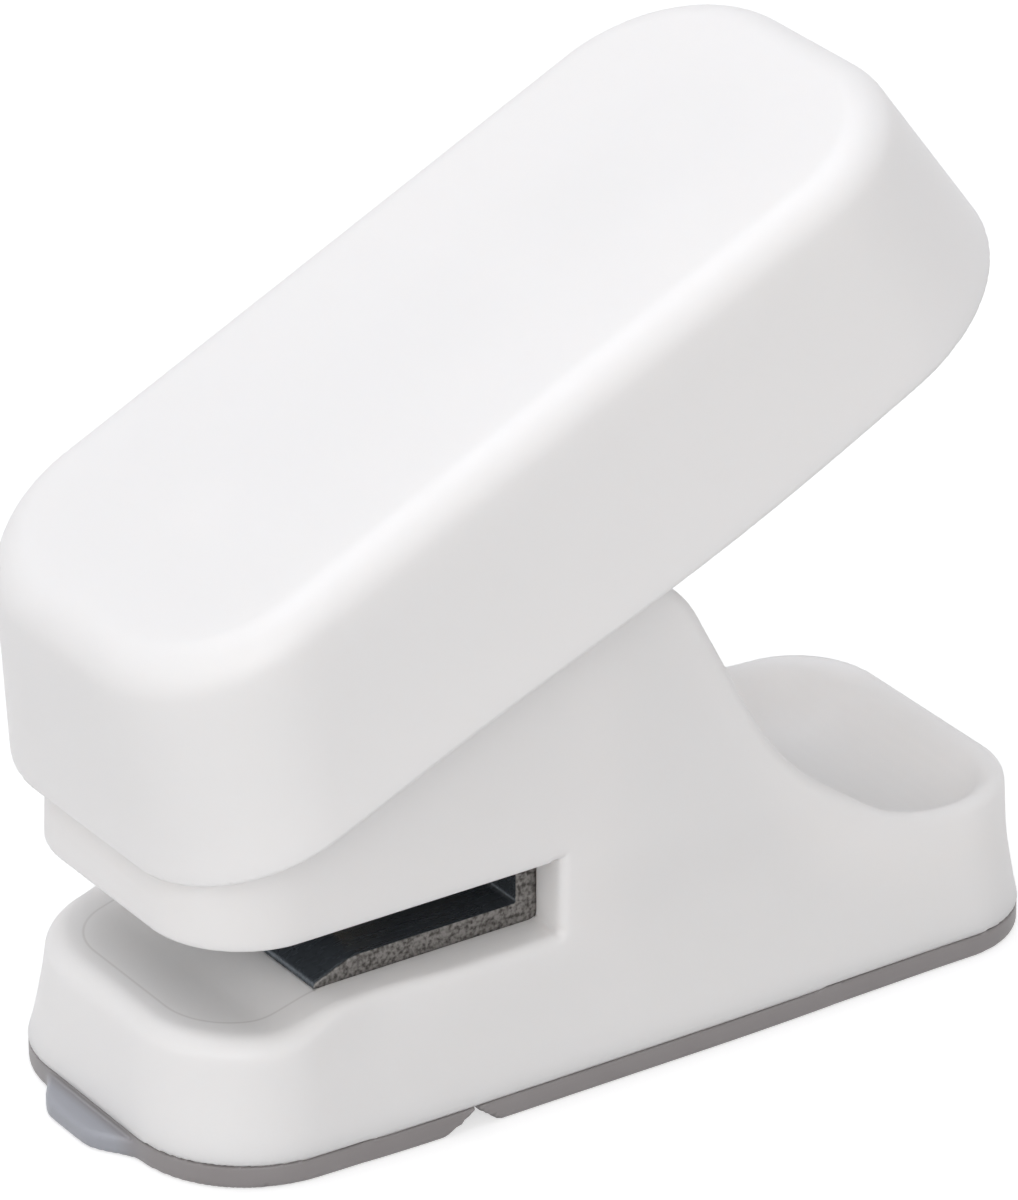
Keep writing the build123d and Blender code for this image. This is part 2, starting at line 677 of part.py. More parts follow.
def punch_spring():
    """Open coil spring between the bush flange and the washer, one unbroken tube."""
    radius = bush_barrel_radius + spring_side_gap + spring_wire / 2
    low = flange_top + spring_wire / 2 + spring_end_gap
    high = washer_bottom - spring_wire / 2 - spring_end_gap
    steps = spring_turns * spring_steps_per_turn
    turn = 2 * pi * spring_turns
    climb = (high - low) / turn

    def place(step):
        angle = turn * step / steps
        return Vector(punch_x + radius * cos(angle), radius * sin(angle), low + climb * angle)

    def heading(step):
        angle = turn * step / steps
        return Vector(-radius * sin(angle), radius * cos(angle), climb).normalized()

    arcs = []
    for step in range(steps):
        start, end = place(step), place(step + 1)
        out, home = heading(step), heading(step + 1)
        chord = end - start
        both = out + home
        lean = 2 * (1 - out.dot(home))
        reach = (-chord.dot(both) + sqrt(chord.dot(both) ** 2 + lean * chord.dot(chord))) / lean
        joint = (start + out * reach + end - home * reach) / 2
        arcs.append(TangentArc(start, joint, tangent=out))
        arcs.append(TangentArc(joint, end, tangent=arcs[-1] % 1))
    path = Wire(arcs)
    samples = [path @ (n / spring_samples) for n in range(spring_samples + 1)]
    half_turn = spring_samples // (2 * spring_turns)
    least = min((a - b).length for n, a in enumerate(samples) for b in samples[n + half_turn:])
    print("least gap between spring turns", round(least - spring_wire, 3))
    with BuildSketch(Plane(origin=place(0), z_dir=heading(0))) as section:
        Circle(spring_wire / 2)
    return sweep(section.sketch, path=path)


def handle_form(inset):
    """Solid between the handle's walls, drawn in by inset, down to the rim plane."""
    share = 1.0 + handle_rim_spare_share
    depth = handle_depth * share
    top = rounded_outline(handle_plane, inset, handle_length - inset, handle_half_width - inset,
                          handle_front_radius - inset, handle_rear_radius - inset)
    rim = rounded_outline(
        handle_plane.offset(-depth), inset - rim_front_step * share,
        handle_length + rim_rear_step * share - inset,
        handle_half_width + (rim_half_width - handle_half_width) * share - inset,
        handle_front_radius + (rim_front_radius - handle_front_radius) * share - inset,
        handle_rear_radius + (rim_rear_radius - handle_rear_radius) * share - inset)
    return loft([top, rim], ruled=True)


def handle_side(top):
    """Side view of the handle with its gently bowed rim, from the height top downwards."""
    front = -rim_front_step - overrun
    rear = handle_length + rim_rear_step + overrun
    ends = -handle_depth + handle_rim_bow
    places = [to_world(*p) for p in ((front, top), (front, ends),
                                     ((front + rear) / 2, -handle_depth), (rear, ends), (rear, top))]
    with BuildSketch(Plane.XZ) as sketch:
        with BuildLine():
            Line(places[0], places[1])
            ThreePointArc(places[1], places[2], places[3])
            Line(places[3], places[4])
            Line(places[4], places[0])
        make_face()
    return across(sketch.sketch.face(), -rim_half_width - overrun, rim_half_width + overrun)


def in_handle(along, y, over):
    """Location in the handle's own frame."""
    return handle_plane.location * Pos(along, y, over)


def handle_block(front, rear, low, high, low_y, high_y):
    """Block set square to the handle's top."""
    centre = ((front + rear) / 2, (low_y + high_y) / 2, (low + high) / 2)
    return in_handle(*centre) * Box(rear - front, high_y - low_y, high - low)


def handle_ribs():
    """Long ribs and cross ribs under the rear half of the roof."""
    low = -handle_roof - rib_depth
    high = -handle_roof + running_gap
    ribs = handle_block(rib_front, rib_rear, low, high, rib_half_spacing - rib_thickness / 2,
                        rib_half_spacing + rib_thickness / 2)
    inner = lever_tail_half_width + flank_gap
    for n in range(cross_ribs):
        at = rib_front + (rib_rear - rib_front) * n / (cross_ribs - 1)
        ribs += handle_block(at, at + rib_thickness, low, high, inner, handle_half_width)
    return both_sides(ribs)


def rest_stops():
    """Two short ribs inside the front wall that meet the upper jaw when the handle is up."""
    rib = slab(handle_front_x, rest_stop_x, stop_rib_bottom, stop_rib_top, rib_thickness / 2)
    return both_sides(Pos(0, stop_rib_half_spacing, 0) * rib)


def press_handle():
    """White hollow press handle with screw bosses, ribs and rest stops inside."""
    outer = handle_form(0) & handle_side(overrun)
    top_edges = [e for e in outer.edges() if abs(handle_plane.to_local_coords(e.center()).Z) < running_gap]
    outer = fillet(top_edges, handle_edge_radius)
    hollow = handle_form(handle_wall) & handle_side(-handle_roof)
    hollow_edges = [e for e in hollow.edges()
                    if abs(handle_plane.to_local_coords(e.center()).Z + handle_roof) < running_gap]
    hollow = fillet(hollow_edges, handle_inner_radius)
    shell = outer - hollow
    inside = handle_ribs() + rest_stops()
    for along in screw_places:
        middle = (lever_top - handle_roof + running_gap) / 2
        inside += in_handle(along, 0, middle) * Cylinder(screw_boss_radius, lever_drop + running_gap)
    shell += inside & outer
    for along in screw_places:
        middle = lever_bottom + screw_length / 2
        shell -= in_handle(along, 0, middle) * Cylinder(screw_radius + fixed_gap,
                                                        screw_length + fixed_gap)
    return shell


def handle_lever():
    """Pressed steel lever: a plate under the roof with two cheeks down to the pins."""
    front = lever_plate_front
    plate = handle_block(front, lever_cheek_rear, lever_bottom, lever_top, -cheek_outer, cheek_outer)
    plate += handle_block(lever_cheek_rear, lever_rear, lever_bottom, lever_top,
                          -lever_tail_half_width, lever_tail_half_width)
    ends = plate.edges().filter_by(lambda e: abs(e.length - lever_plate) < running_gap)
    plate = fillet(ends.sort_by_distance(Vector(*in_handle(lever_rear, 0, 0).position))[:2],
                   lever_corner_radius)
    plate += both_sides(lever_cheek())
    for along in screw_places:
        plate -= in_handle(along, 0, lever_bottom) * Cylinder(screw_radius + running_gap,
                                                              2 * lever_plate + running_gap)
    plate -= cross_bar(pivot_x, pivot_z, hinge_pin_radius + running_gap, -cheek_outer, cheek_outer)
    return plate - drive_slot()


def slot_ends():
    """Two ends of the lever's slot, seen from the side, on a line through the pivot."""
    turn = radians(press_angle) / 2
    far = hypot(lever_arm, press_stroke / 2)
    return [(pivot_x + r * cos(turn), pivot_z + r * sin(turn)) for r in (lever_arm, far)]


def lever_cheek():
    """One cheek of the lever with its hinge eye and slot eye."""
    ridge = lever_bottom + lever_plate / 2
    front_x = pivot_x - lever_eye_radius
    front_z = handle_front_z + (front_x - handle_front_x) * tan(rise) + ridge / cos(rise)
    with BuildSketch(Plane.XZ) as sketch:
        with Locations((pivot_x, pivot_z)):
            Circle(lever_eye_radius)
        with Locations(*slot_ends()):
            Circle(slot_eye_radius)
        with BuildLine():
            rear = to_world(lever_cheek_rear, ridge)
            Polyline((front_x, front_z), rear, (pivot_x, pivot_z), close=True)
        make_face()
        make_hull(mode=Mode.REPLACE)
    return across(sketch.sketch.face(), cheek_inner, cheek_outer)


def drive_slot():
    """Slot through both cheeks for the drive pin."""
    with BuildSketch(Plane.XZ) as sketch:
        with Locations(*slot_ends()):
            Circle(drive_pin_radius + slot_gap)
        make_hull(mode=Mode.REPLACE)
    return across(sketch.sketch.face(), -cheek_outer, cheek_outer)


def lever_screw(along):
    """Pan-head screw that holds the lever to a boss under the roof."""
    shank = Cylinder(screw_radius, screw_length)
    head = Pos(0, 0, -(screw_length + screw_head) / 2) * Cylinder(screw_head_radius, screw_head)
    screw = shank + head
    screw = chamfer(screw.edges().sort_by(Axis.Z)[0], screw_head_bevel)
    foot = -screw_length / 2 - screw_head + screw_slot_depth / 2
    screw -= Pos(0, 0, foot) * Box(2 * screw_head_radius, screw_slot_width, screw_slot_depth)
    return in_handle(along, 0, lever_bottom + screw_length / 2) * screw


def cover_plate():
    """Whole base cover before it is parted at the living hinge."""
    outline = waisted_outline(
        0, base_front_x + cover_inset, base_rear_x - cover_inset, base_end_half_width - cover_inset,
        base_half_width - cover_inset, base_end_half_width - cover_inset,
        base_front_radius - cover_inset, base_rear_radius - cover_inset)
    plate = extrude(outline, amount=cover_thickness)
    lip = outer_form(wall + lip_gap) - outer_form(wall + lip_gap + lip_thickness)
    return plate + (lip & slab(base_front_x, base_rear_x, cover_thickness,
                               cover_thickness + lip_height, base_half_width))


def rear_half():
    """Everything behind the living hinge, with the rear flank of its groove."""
    knuckle = hinge_web / 2
    apex = cover_thickness - hinge_web
    top = cover_thickness + lip_height + overrun
    edge = hinge_line_x + knuckle + hinge_split
    return across(side_face((
        (edge, top), (edge, apex), (hinge_line_x + groove_rear_width, 0),
        (base_rear_x + overrun, 0), (base_rear_x + overrun, top),
    )), -base_half_width - overrun, base_half_width + overrun)


def base_cover():
    """Grey cover that closes the rear of the underside."""
    cover = cover_plate() & rear_half()
    keep = chamber_rear_x - lip_gap
    clear = rear_cavity_front_x + lip_gap
    return cover - slab(keep, clear, cover_thickness, cover_thickness + lip_height, base_half_width)


def chip_flap():
    """Grey flap that closes the chip chamber, with a finger tab and a rounded hinge edge."""
    apex = cover_thickness - hinge_web
    top = cover_thickness + lip_height + overrun
    front_half = across(side_face((
        (hinge_line_x, cover_thickness), (hinge_line_x, apex), (hinge_line_x - groove_front_width, 0),
        (base_front_x - overrun, 0), (base_front_x - overrun, top), (flap_lip_rear_x, top),
        (flap_lip_rear_x, cover_thickness),
    )), -base_half_width - overrun, base_half_width + overrun)
    flap = cover_plate() & front_half
    half = base_half_width - cover_inset
    flap += cross_bar(hinge_line_x, hinge_axis_z, hinge_web / 2, -half, half)
    with BuildSketch(Plane.XY) as tab:
        with Locations((base_front_x + (tab_radius - tab_reach) , 0)):
            RectangleRounded(2 * tab_radius, 2 * tab_half_width, tab_radius * tab_round_share)
    return flap + extrude(tab.sketch, amount=tab_thickness)


def save(shape, name):
    """Write one named piece."""
    export_step(shape, "parts/" + name + ".step")


if __name__ == "__main__":
    save(main_housing(), "main_housing")
    save(steel_frame(), "steel_frame")
    save(guide_bush(), "guide_bush")
    save(hinge_pin(), "hinge_pin")
    save(hinge_clip(), "hinge_clip")
    save(base_cover(), "base_cover")
    save(chip_flap(), "chip_flap")
    save(press_handle(), "press_handle")
    save(handle_lever(), "handle_lever")
    for number, along in enumerate(screw_places):
        save(lever_screw(along), "lever_screw_" + str(number + 1))
    save(punch_pin(), "punch_pin")
    save(drive_pin(), "drive_pin")
    save(spring_washer(), "spring_washer")
    save(punch_clip(), "punch_clip")
    save(punch_spring(), "punch_spring")
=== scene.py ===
from math import cos, pi, radians, sin, tan

import bpy
import numpy as np
from mathutils import Matrix, Vector


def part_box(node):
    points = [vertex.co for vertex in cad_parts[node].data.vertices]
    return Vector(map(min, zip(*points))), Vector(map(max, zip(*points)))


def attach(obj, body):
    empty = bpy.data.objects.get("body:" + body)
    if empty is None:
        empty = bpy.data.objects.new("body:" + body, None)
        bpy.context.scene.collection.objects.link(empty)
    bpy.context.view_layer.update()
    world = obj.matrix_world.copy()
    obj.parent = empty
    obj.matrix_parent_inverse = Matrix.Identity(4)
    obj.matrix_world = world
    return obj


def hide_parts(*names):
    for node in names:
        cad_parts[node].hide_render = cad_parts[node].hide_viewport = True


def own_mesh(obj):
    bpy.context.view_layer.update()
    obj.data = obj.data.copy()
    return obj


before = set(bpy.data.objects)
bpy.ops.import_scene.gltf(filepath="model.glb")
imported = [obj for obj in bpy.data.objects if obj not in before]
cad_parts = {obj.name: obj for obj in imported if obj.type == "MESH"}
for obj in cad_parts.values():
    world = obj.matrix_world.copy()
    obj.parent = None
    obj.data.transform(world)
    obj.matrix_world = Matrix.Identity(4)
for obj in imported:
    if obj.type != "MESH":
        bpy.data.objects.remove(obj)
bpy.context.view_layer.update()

bl_info = {
    "name": "Single hole punch",
    "version": (1, 0, 0),
    "blender": (4, 5, 0),
    "location": "3D View > Sidebar > Hole Punch",
    "description": "Dresses the packed hole punch with smooth moulded shells and materials",
    "category": "Object",
}

MM = 0.001


# Colour and node helpers

def linear(code):
    """Linear colour from an sRGB hex code."""
    out = []
    for n in (1, 3, 5):
        c = int(code[n:n + 2], 16) / 255.0
        out.append(c / 12.92 if c <= 0.04045 else ((c + 0.055) / 1.055) ** 2.4)
    return (out[0], out[1], out[2], 1.0)


def add(tree, kind, inputs=None, **settings):
    """A new node with its settings. An input given as a node or socket is linked, others are set."""
    node = tree.nodes.new(kind)
    for key, value in settings.items():
        setattr(node, key, value)
    for key, value in (inputs or {}).items():
        if isinstance(value, bpy.types.Node):
            value = next(socket for socket in value.outputs if socket.enabled)
        if isinstance(value, bpy.types.NodeSocket):
            tree.links.new(value, node.inputs[key])
        else:
            node.inputs[key].default_value = value
    return node


def blank(name):
    """An empty node material and its tree."""
    mat = bpy.data.materials.new(name)
    mat.use_nodes = True
    mat.node_tree.nodes.clear()
    return mat, mat.node_tree


def camera_or_gloss(tree):
    """1 for rays from the camera or off a glossy surface, 0 for all others."""
    path = add(tree, "ShaderNodeLightPath").outputs
    rays = {0: path["Is Camera Ray"], 1: path["Is Glossy Ray"]}
    return add(tree, "ShaderNodeMath", rays, operation="MAXIMUM")


# Shapes as distances, in millimetres

def ramp(t):
    """Smooth step from 0 to 1."""
    t = np.clip(t, 0.0, 1.0)
    return t * t * (3.0 - 2.0 * t)


def level_curve(z, knots):
    """Smooth curve through (height, value, slope) knots, straight beyond the last."""
    out = np.full_like(z, knots[0][1])
    for (z0, v0, s0), (z1, v1, s1) in zip(knots, knots[1:]):
        span = z1 - z0
        t = (z - z0) / span
        tt = t * t
        ease = tt * (3 - 2 * t)
        h = v0 + ease * (v1 - v0) + t * (1 - t) * span * ((1 - t) * s0 - t * s1)
        out = np.where((z >= z0) & (z <= z1), h, out)
    first, last = knots[0], knots[-1]
    out = np.where(z < first[0], first[1] + (z - first[0]) * first[2], out)
    return np.where(z > last[0], last[1] + (z - last[0]) * last[2], out)


def round_both(a, b, radius):
    """Intersection of two distances with a rounded edge."""
    radius = np.maximum(radius, 1e-4)
    return (np.minimum(np.maximum(a, b), -radius)
            + np.hypot(np.maximum(a + radius, 0), np.maximum(b + radius, 0)))


def round_union(a, b, radius):
    """Union of two distances with a filleted inner corner."""
    return -round_both(-a, -b, radius)


def carve(body, tool, radius):
    """Tool taken out of body, the rim of the cut rounded."""
    return round_both(body, -tool, radius)


def rect(px, py, front, rear, half, front_r, rear_r):
    """Distance to a rectangle with its own corner radius at the front and at the rear."""
    middle = (front + rear) / 2
    r = np.where(px < middle, front_r, rear_r)
    qx = np.abs(px - middle) - (rear - front) / 2 + r
    qy = np.abs(py) - half + r
    return np.hypot(np.maximum(qx, 0), np.maximum(qy, 0)) + np.minimum(np.maximum(qx, qy), 0) - r


def block(p, low, high):
    """Distance to an upright block between two corners."""
    q = [np.abs(c - (a + b) / 2) - (b - a) / 2 for c, a, b in zip(p, low, high)]
    out = np.sqrt(sum(np.maximum(v, 0) ** 2 for v in q))
    return out + np.minimum(np.maximum(np.maximum(q[0], q[1]), q[2]), 0)


def polygon(px, py, corners):
    """Distance to a closed outline of straight runs."""
    shape = np.broadcast(px, py).shape
    fx = np.broadcast_to(px, shape).ravel()
    fy = np.broadcast_to(py, shape).ravel()
    best = np.full(fx.shape, 1e12)
    inside = np.zeros(fx.shape, bool)
    for (ax, ay), (bx, by) in zip(corners, corners[1:] + corners[:1]):
        ex, ey = bx - ax, by - ay
        if ex == 0 and ey == 0:
            continue
        wx, wy = fx - ax, fy - ay
        t = np.clip((wx * ex + wy * ey) / (ex * ex + ey * ey), 0, 1)
        best = np.minimum(best, (wx - t * ex) ** 2 + (wy - t * ey) ** 2)
        if ey != 0:
            cross = ((fy < ay) != (fy < by)) & (fx < ax + ex * (fy - ay) / ey)
            inside ^= cross
    return (np.where(inside, -1.0, 1.0) * np.sqrt(best)).reshape(shape)


def chart(corners, step=0.1):
    """Reader of the distance to a closed outline, from a fine chart made once."""
    xs, zs = np.arange(-37.5, 37.5, step), np.arange(-4.0, 66.0, step)
    table = polygon(xs[:, None], zs[None, :], corners)

    def read(px, pz):
        u = np.clip((px - xs[0]) / step, 0, len(xs) - 1.01)
        v = np.clip((pz - zs[0]) / step, 0, len(zs) - 1.01)
        i, j = u.astype(int), v.astype(int)
        f, g = u - i, v - j
        return ((table[i, j] * (1 - f) + table[i + 1, j] * f) * (1 - g)
                + (table[i, j + 1] * (1 - f) + table[i + 1, j + 1] * f) * g)
    return read


def arc(cx, cy, radius, start, end, steps=24):
    """Points of an arc, angles in degrees."""
    turns = [radians(start + (end - start) * n / steps) for n in range(steps + 1)]
    return [(cx + radius * cos(t), cy + radius * sin(t)) for t in turns]


# Sizes of the housing in millimetres, heights from the rest face

COVER = 1.6
WALL = 2.0
JAW_TOP = 10.7
THROAT_TOP = 16.2
THROAT_REAR = -5.4
TOWER_TOP = 34.4
TOWER_FRONT = -30.4
FRONT_ROUND = 6.0
CROWN_ROUND = 8.0
NOSE_SHOULDER = ((TOWER_FRONT, 21.7), (-32.3, 19.5))

# The tower's rear slope in degrees, a place on it, and its sweep into the rim of the dish
SLOPE = 63.4
LEAN = radians(SLOPE)
SLOPE_X, SLOPE_Z = 9.817, 22.145
RIM = 11.1
SWEEP_X, SWEEP_ROUND = 27.7, 20.0

DISH_FLOOR = 7.0
DISH_SWEEP = 11.0
DISH_END_X, DISH_END_ROUND = 24.8, 8.0
CAVITY_ROOF = 5.0
CAVITY_SWEEP = 13.0
CHAMBER_TOP = 8.7

PIVOT = (-25.5, 29.4)
PUNCH_X = -11.0

# The return spring: half its wire, the radius of its middle line and its turns
SPRING_WIRE = 0.35
SPRING_ROUND = 4.7
SPRING_TURNS = 4

# The steel frame: a bent strip with a lower leg, a web, an upper leg and two ears
STEEL = 1.6
STRIP_HALF = 9.1
STRIP_FRONT = -22.2
STRIP_REAR = -5.2
LOWER_LEG = 10.5
UPPER_LEG = 16.4
UPPER_HALF = 6.5
EAR_FRONT, EAR_REAR = -28.0, -20.6
DIE_ROUND, BUSH_ROUND, PIN_ROUND, EAR_ROUND = 3.05, 4.22, 1.52, 2.5
SEAT_GAP = 0.05

# A place beyond every edge, for outlines that run past the piece
FAR = 60.0

# Side walls as (height, value, slope) knots: half widths at the nose, waist and tail, the two
# ends, and the corner rounding at the front and rear
NOSE_HALF = ((1.6, 14.0, -0.3), (5.2, 13.2, -0.17), (10.7, 12.5, -0.07), (16.2, 12.45, -0.058),
             (34.4, 11.4, -0.058))
WAIST_HALF = ((1.6, 14.4, -0.45), (5.2, 13.2, -0.22), (10.7, 12.4, -0.07), (16.2, 12.45, -0.058),
              (34.4, 11.4, -0.058))
TAIL_HALF = ((1.6, 14.0, -0.3), (5.2, 13.2, -0.17), (10.7, 12.7, -0.08), (16.2, 12.3, -0.082),
             (34.4, 10.8, -0.082))
FRONT_END = ((1.6, -33.5, 0.18), (5.2, -33.0, 0.12), (10.7, -32.4, 0.09), (16.2, -32.0, 0.011))
REAR_END = ((1.6, 33.5, -0.12), (5.2, 33.2, -0.1), (10.7, 32.75, -0.05), (16.2, 32.75, 0.0))
FRONT_CORNER = ((1.6, 8.5, 0), (5.2, 8.5, 0), (10.7, 8.0, -0.2), (16.2, 6.9, 0))
REAR_CORNER = ((1.6, 7.0, 0), (5.2, 7.0, 0), (10.7, 6.4, 0))


def side_walls(p, inset):
    """Distance to the housing's side walls: base, jaw, tower and rear block in one skin."""
    x, y, z = p
    nose = level_curve(z, NOSE_HALF)
    waist = level_curve(z, WAIST_HALF)
    tail = level_curve(z, TAIL_HALF)
    half = waist + (nose - waist) * ramp((-15.0 - x) / 14.0) + (tail - waist) * ramp((x - 5.0) / 21.0)
    # The jaw draws in by half a millimetre between its nose and the die
    pinch = ramp((z - 5.0) / 5.0) * (1.0 - ramp((z - 11.5) / 2.5))
    half = half - 0.5 * pinch * ramp(1.0 - np.abs(x + 19.5) / 7.0)
    front, rear = level_curve(z, FRONT_END), level_curve(z, REAR_END)
    front_r, rear_r = level_curve(z, FRONT_CORNER), level_curve(z, REAR_CORNER)
    return rect(x, y, front, rear, half, front_r, rear_r) + inset


def slope_x(height, shift=0.0):
    """X of the tower's rear slope at a height, moved square to itself."""
    return SLOPE_X - (height - SLOPE_Z) / tan(LEAN) + shift / sin(LEAN)


def crown_x(radius, depth):
    """X of the middle of the crown's rounding, on a slope moved inwards by a depth."""
    return slope_x(TOWER_TOP - depth - radius * (1 - cos(LEAN)), -depth) - radius * sin(LEAN)


def tower_outline():
    """Side view of the housing without its throat."""
    points = [(-FAR, -10), (FAR, -10), (FAR, RIM), (SWEEP_X, RIM)]
    points += arc(SWEEP_X, RIM + SWEEP_ROUND, SWEEP_ROUND, 270, 270 - SLOPE, 40)
    points += arc(crown_x(CROWN_ROUND, 0.0), TOWER_TOP - CROWN_ROUND, CROWN_ROUND, 90 - SLOPE, 90, 30)
    points += arc(TOWER_FRONT + FRONT_ROUND, TOWER_TOP - FRONT_ROUND, FRONT_ROUND, 90, 180, 20)
    return points + [*NOSE_SHOULDER, (-FAR, NOSE_SHOULDER[1][1])]


def hollow_outline():
    """Side view of the cavity under the dish and inside the tower's rear."""
    centre = CAVITY_ROOF + CAVITY_SWEEP
    cx = slope_x(centre - CAVITY_SWEEP * cos(LEAN), -WALL) + CAVITY_SWEEP * sin(LEAN)
    inner = CROWN_ROUND - WALL
    front = -0.2
    roof = arc(crown_x(inner, WALL), TOWER_TOP - CROWN_ROUND, inner, 90, 90 - SLOPE, 24)
    points = [(front, -5), (front, TOWER_TOP - WALL)] + [q for q in roof if q[0] > front + 0.01]
    points += arc(cx, centre, CAVITY_SWEEP, 270 - SLOPE, 270, 24)
    return points + [(FAR, CAVITY_ROOF), (FAR, -5)]


def scoop_outline():
    """Side view of the finger dish."""
    centre = DISH_FLOOR + DISH_SWEEP
    cx = slope_x(centre - DISH_SWEEP * cos(LEAN)) + DISH_SWEEP * sin(LEAN)
    points = [(slope_x(FAR), FAR)]
    points += arc(cx, centre, DISH_SWEEP, 270 - SLOPE, 270, 24)
    points += arc(DISH_END_X, DISH_FLOOR + DISH_END_ROUND, DISH_END_ROUND, 270, 360, 16)
    return points + [(DISH_END_X + DISH_END_ROUND, FAR)]


TOWER = chart(tower_outline())
HOLLOW = chart(hollow_outline())
SCOOP = chart(scoop_outline())


def well_half(x):
    """Half width of the dish at a place along it."""
    return 7.0 + 5.3 * ramp((x - 7.7) / 12.5)


def housing(p):
    """Distance to the whole white housing."""
    x, y, z = p
    body = round_both(side_walls(p, 0.0), TOWER(x, z), 0.85)
    # The throat: its edges grow softer towards the nose, and its floor drops there by 1 mm
    nose = ramp((-20.5 - x) / 6.5)
    edge = np.where(z < 13, 0.7 + 0.7 * nose, 0.4)
    past = x - THROAT_REAR + 1.6
    edge = np.where(past > 0, np.maximum(edge, 0.7 * ramp(past / 1.2)), edge)
    floor = JAW_TOP - ramp((-21.5 - x) / 5.5)
    throat = np.maximum(round_both(x - THROAT_REAR, floor - z, 0.4), z - THROAT_TOP)
    body = carve(body, throat, edge)
    # The dish, a bowl whose sides round further into its floor towards the rear
    plan = rect(x, y, -20.0, 45.0, well_half(x), 4.6, 4.6)
    scoop = round_both(SCOOP(x, z), plan, 2.0 + 4.6 * ramp((x - 8.0) / 12.0))
    body = carve(body, scoop, 0.9 * ramp((x - 10.0) / 8.0))
    body = round_both(body, COVER - z, 0.3)
    # Chip chamber, rear cavity, and the pocket for the lever and the punch
    inner = side_walls(p, WALL)
    body = carve(body, np.maximum(np.maximum(inner, x + 2.2), z - CHAMBER_TOP), 0.2)
    body = carve(body, np.maximum(inner, HOLLOW(x, z)), 0.2)
    pocket = np.maximum(rect(x, y, -28.4, -3.0, 9.7, 3.0, 3.0), 18.2 - z)
    body = carve(body, pocket, 0.3)
    # Bosses of the hinge pin and the sunk seats of its head and clip
    pin = np.hypot(x - PIVOT[0], z - PIVOT[1])
    boss = np.maximum(np.maximum(pin - 3.4, UPPER_HALF + SEAT_GAP - np.abs(y)), np.abs(y) - 10.0)
    body = round_union(body, boss, 0.25)
    body = carve(body, np.maximum(pin - 2.9, 10.6 - np.abs(y)), 0.2)
    # Seats of the steel frame
    body = np.maximum(body, -block(p, (-28.05, -6.55, 15.4), (-3.1, 6.55, 21.2)))
    seat = STRIP_HALF + SEAT_GAP
    lower = block(p, (STRIP_FRONT - SEAT_GAP, -seat, LOWER_LEG), (THROAT_REAR, seat, 16.0))
    web = block(p, (-6.9, -seat, LOWER_LEG), (-5.15, seat, 18.05))
    body = np.maximum(np.maximum(body, -lower), -web)
    chips = np.maximum(np.hypot(x - PUNCH_X, y) - 3.9, np.abs(z - 9.6) - 1.5)
    body = np.maximum(body, -chips)
    return np.maximum(body, PIN_ROUND - pin)


def strip(p):
    """Distance to the steel frame: lower leg, web, upper leg and the two ears of the hinge."""
    x, y, z = p
    punch = np.hypot(x - PUNCH_X, y)
    lower = block(p, (STRIP_FRONT, -STRIP_HALF, LOWER_LEG), (STRIP_REAR, STRIP_HALF, LOWER_LEG + STEEL))
    # The front edge is bevelled so that paper slides up onto the die
    bevel = radians(22.0)
    lower = round_both(lower, (z - 10.95) * cos(bevel) - (x - STRIP_FRONT) * sin(bevel), 0.25)
    lower = np.maximum(lower, DIE_ROUND - punch)
    top = UPPER_LEG + STEEL
    web = block(p, (STRIP_REAR - STEEL, -STRIP_HALF, LOWER_LEG), (STRIP_REAR, STRIP_HALF, top))
    upper = block(p, (EAR_FRONT, -UPPER_HALF, UPPER_LEG), (STRIP_REAR, UPPER_HALF, top))
    upper = np.maximum(upper, BUSH_ROUND - punch)
    side = polygon(x, z, [(EAR_FRONT, UPPER_LEG), (EAR_REAR, UPPER_LEG), (EAR_REAR, top),
                          (-23.05, 29.91), PIVOT, (EAR_FRONT, PIVOT[1])])
    pin = np.hypot(x - PIVOT[0], z - PIVOT[1])
    side = np.maximum(np.minimum(side, pin - EAR_ROUND), PIN_ROUND - pin)
    ears = np.maximum(side, np.abs(np.abs(y) - (UPPER_HALF - STEEL / 2)) - STEEL / 2)
    return np.minimum(np.minimum(round_union(lower, web, 0.4), upper), ears)


# Sizes of the handle, set out on its sloping top

RISE = radians(25.35)
HANDLE_AT = (-35.2, 36.35)
LENGTH = 62.7
DEPTH = 15.4
SKIN = 1.9
RIB = 1.2
RIB_SIDE = 8.4
RIB_FRONT, RIB_SPAN = 34.03, 25.76
RIB_MIDDLE, RIB_REACH = 46.9, 12.9
BOSS_SHARES = (0.19, 0.6, 0.82)


def handle_place(p):
    """Distance along the top, across, and over it."""
    dx, dz = p[0] - HANDLE_AT[0], p[2] - HANDLE_AT[1]
    return dx * cos(RISE) + dz * sin(RISE), p[1], dz * cos(RISE) - dx * sin(RISE)


def handle_walls(q, inset):
    """Distance to the handle's sloping walls, made true for their lean."""
    along, y, over = q
    t = -over / DEPTH
    d = rect(along, y, -5.0 * t, LENGTH + 3.4 * t, 14.6 + 1.6 * t, 10.3 - 0.6 * t, 10.1 + 3.4 * t)
    return d * 0.985 + inset


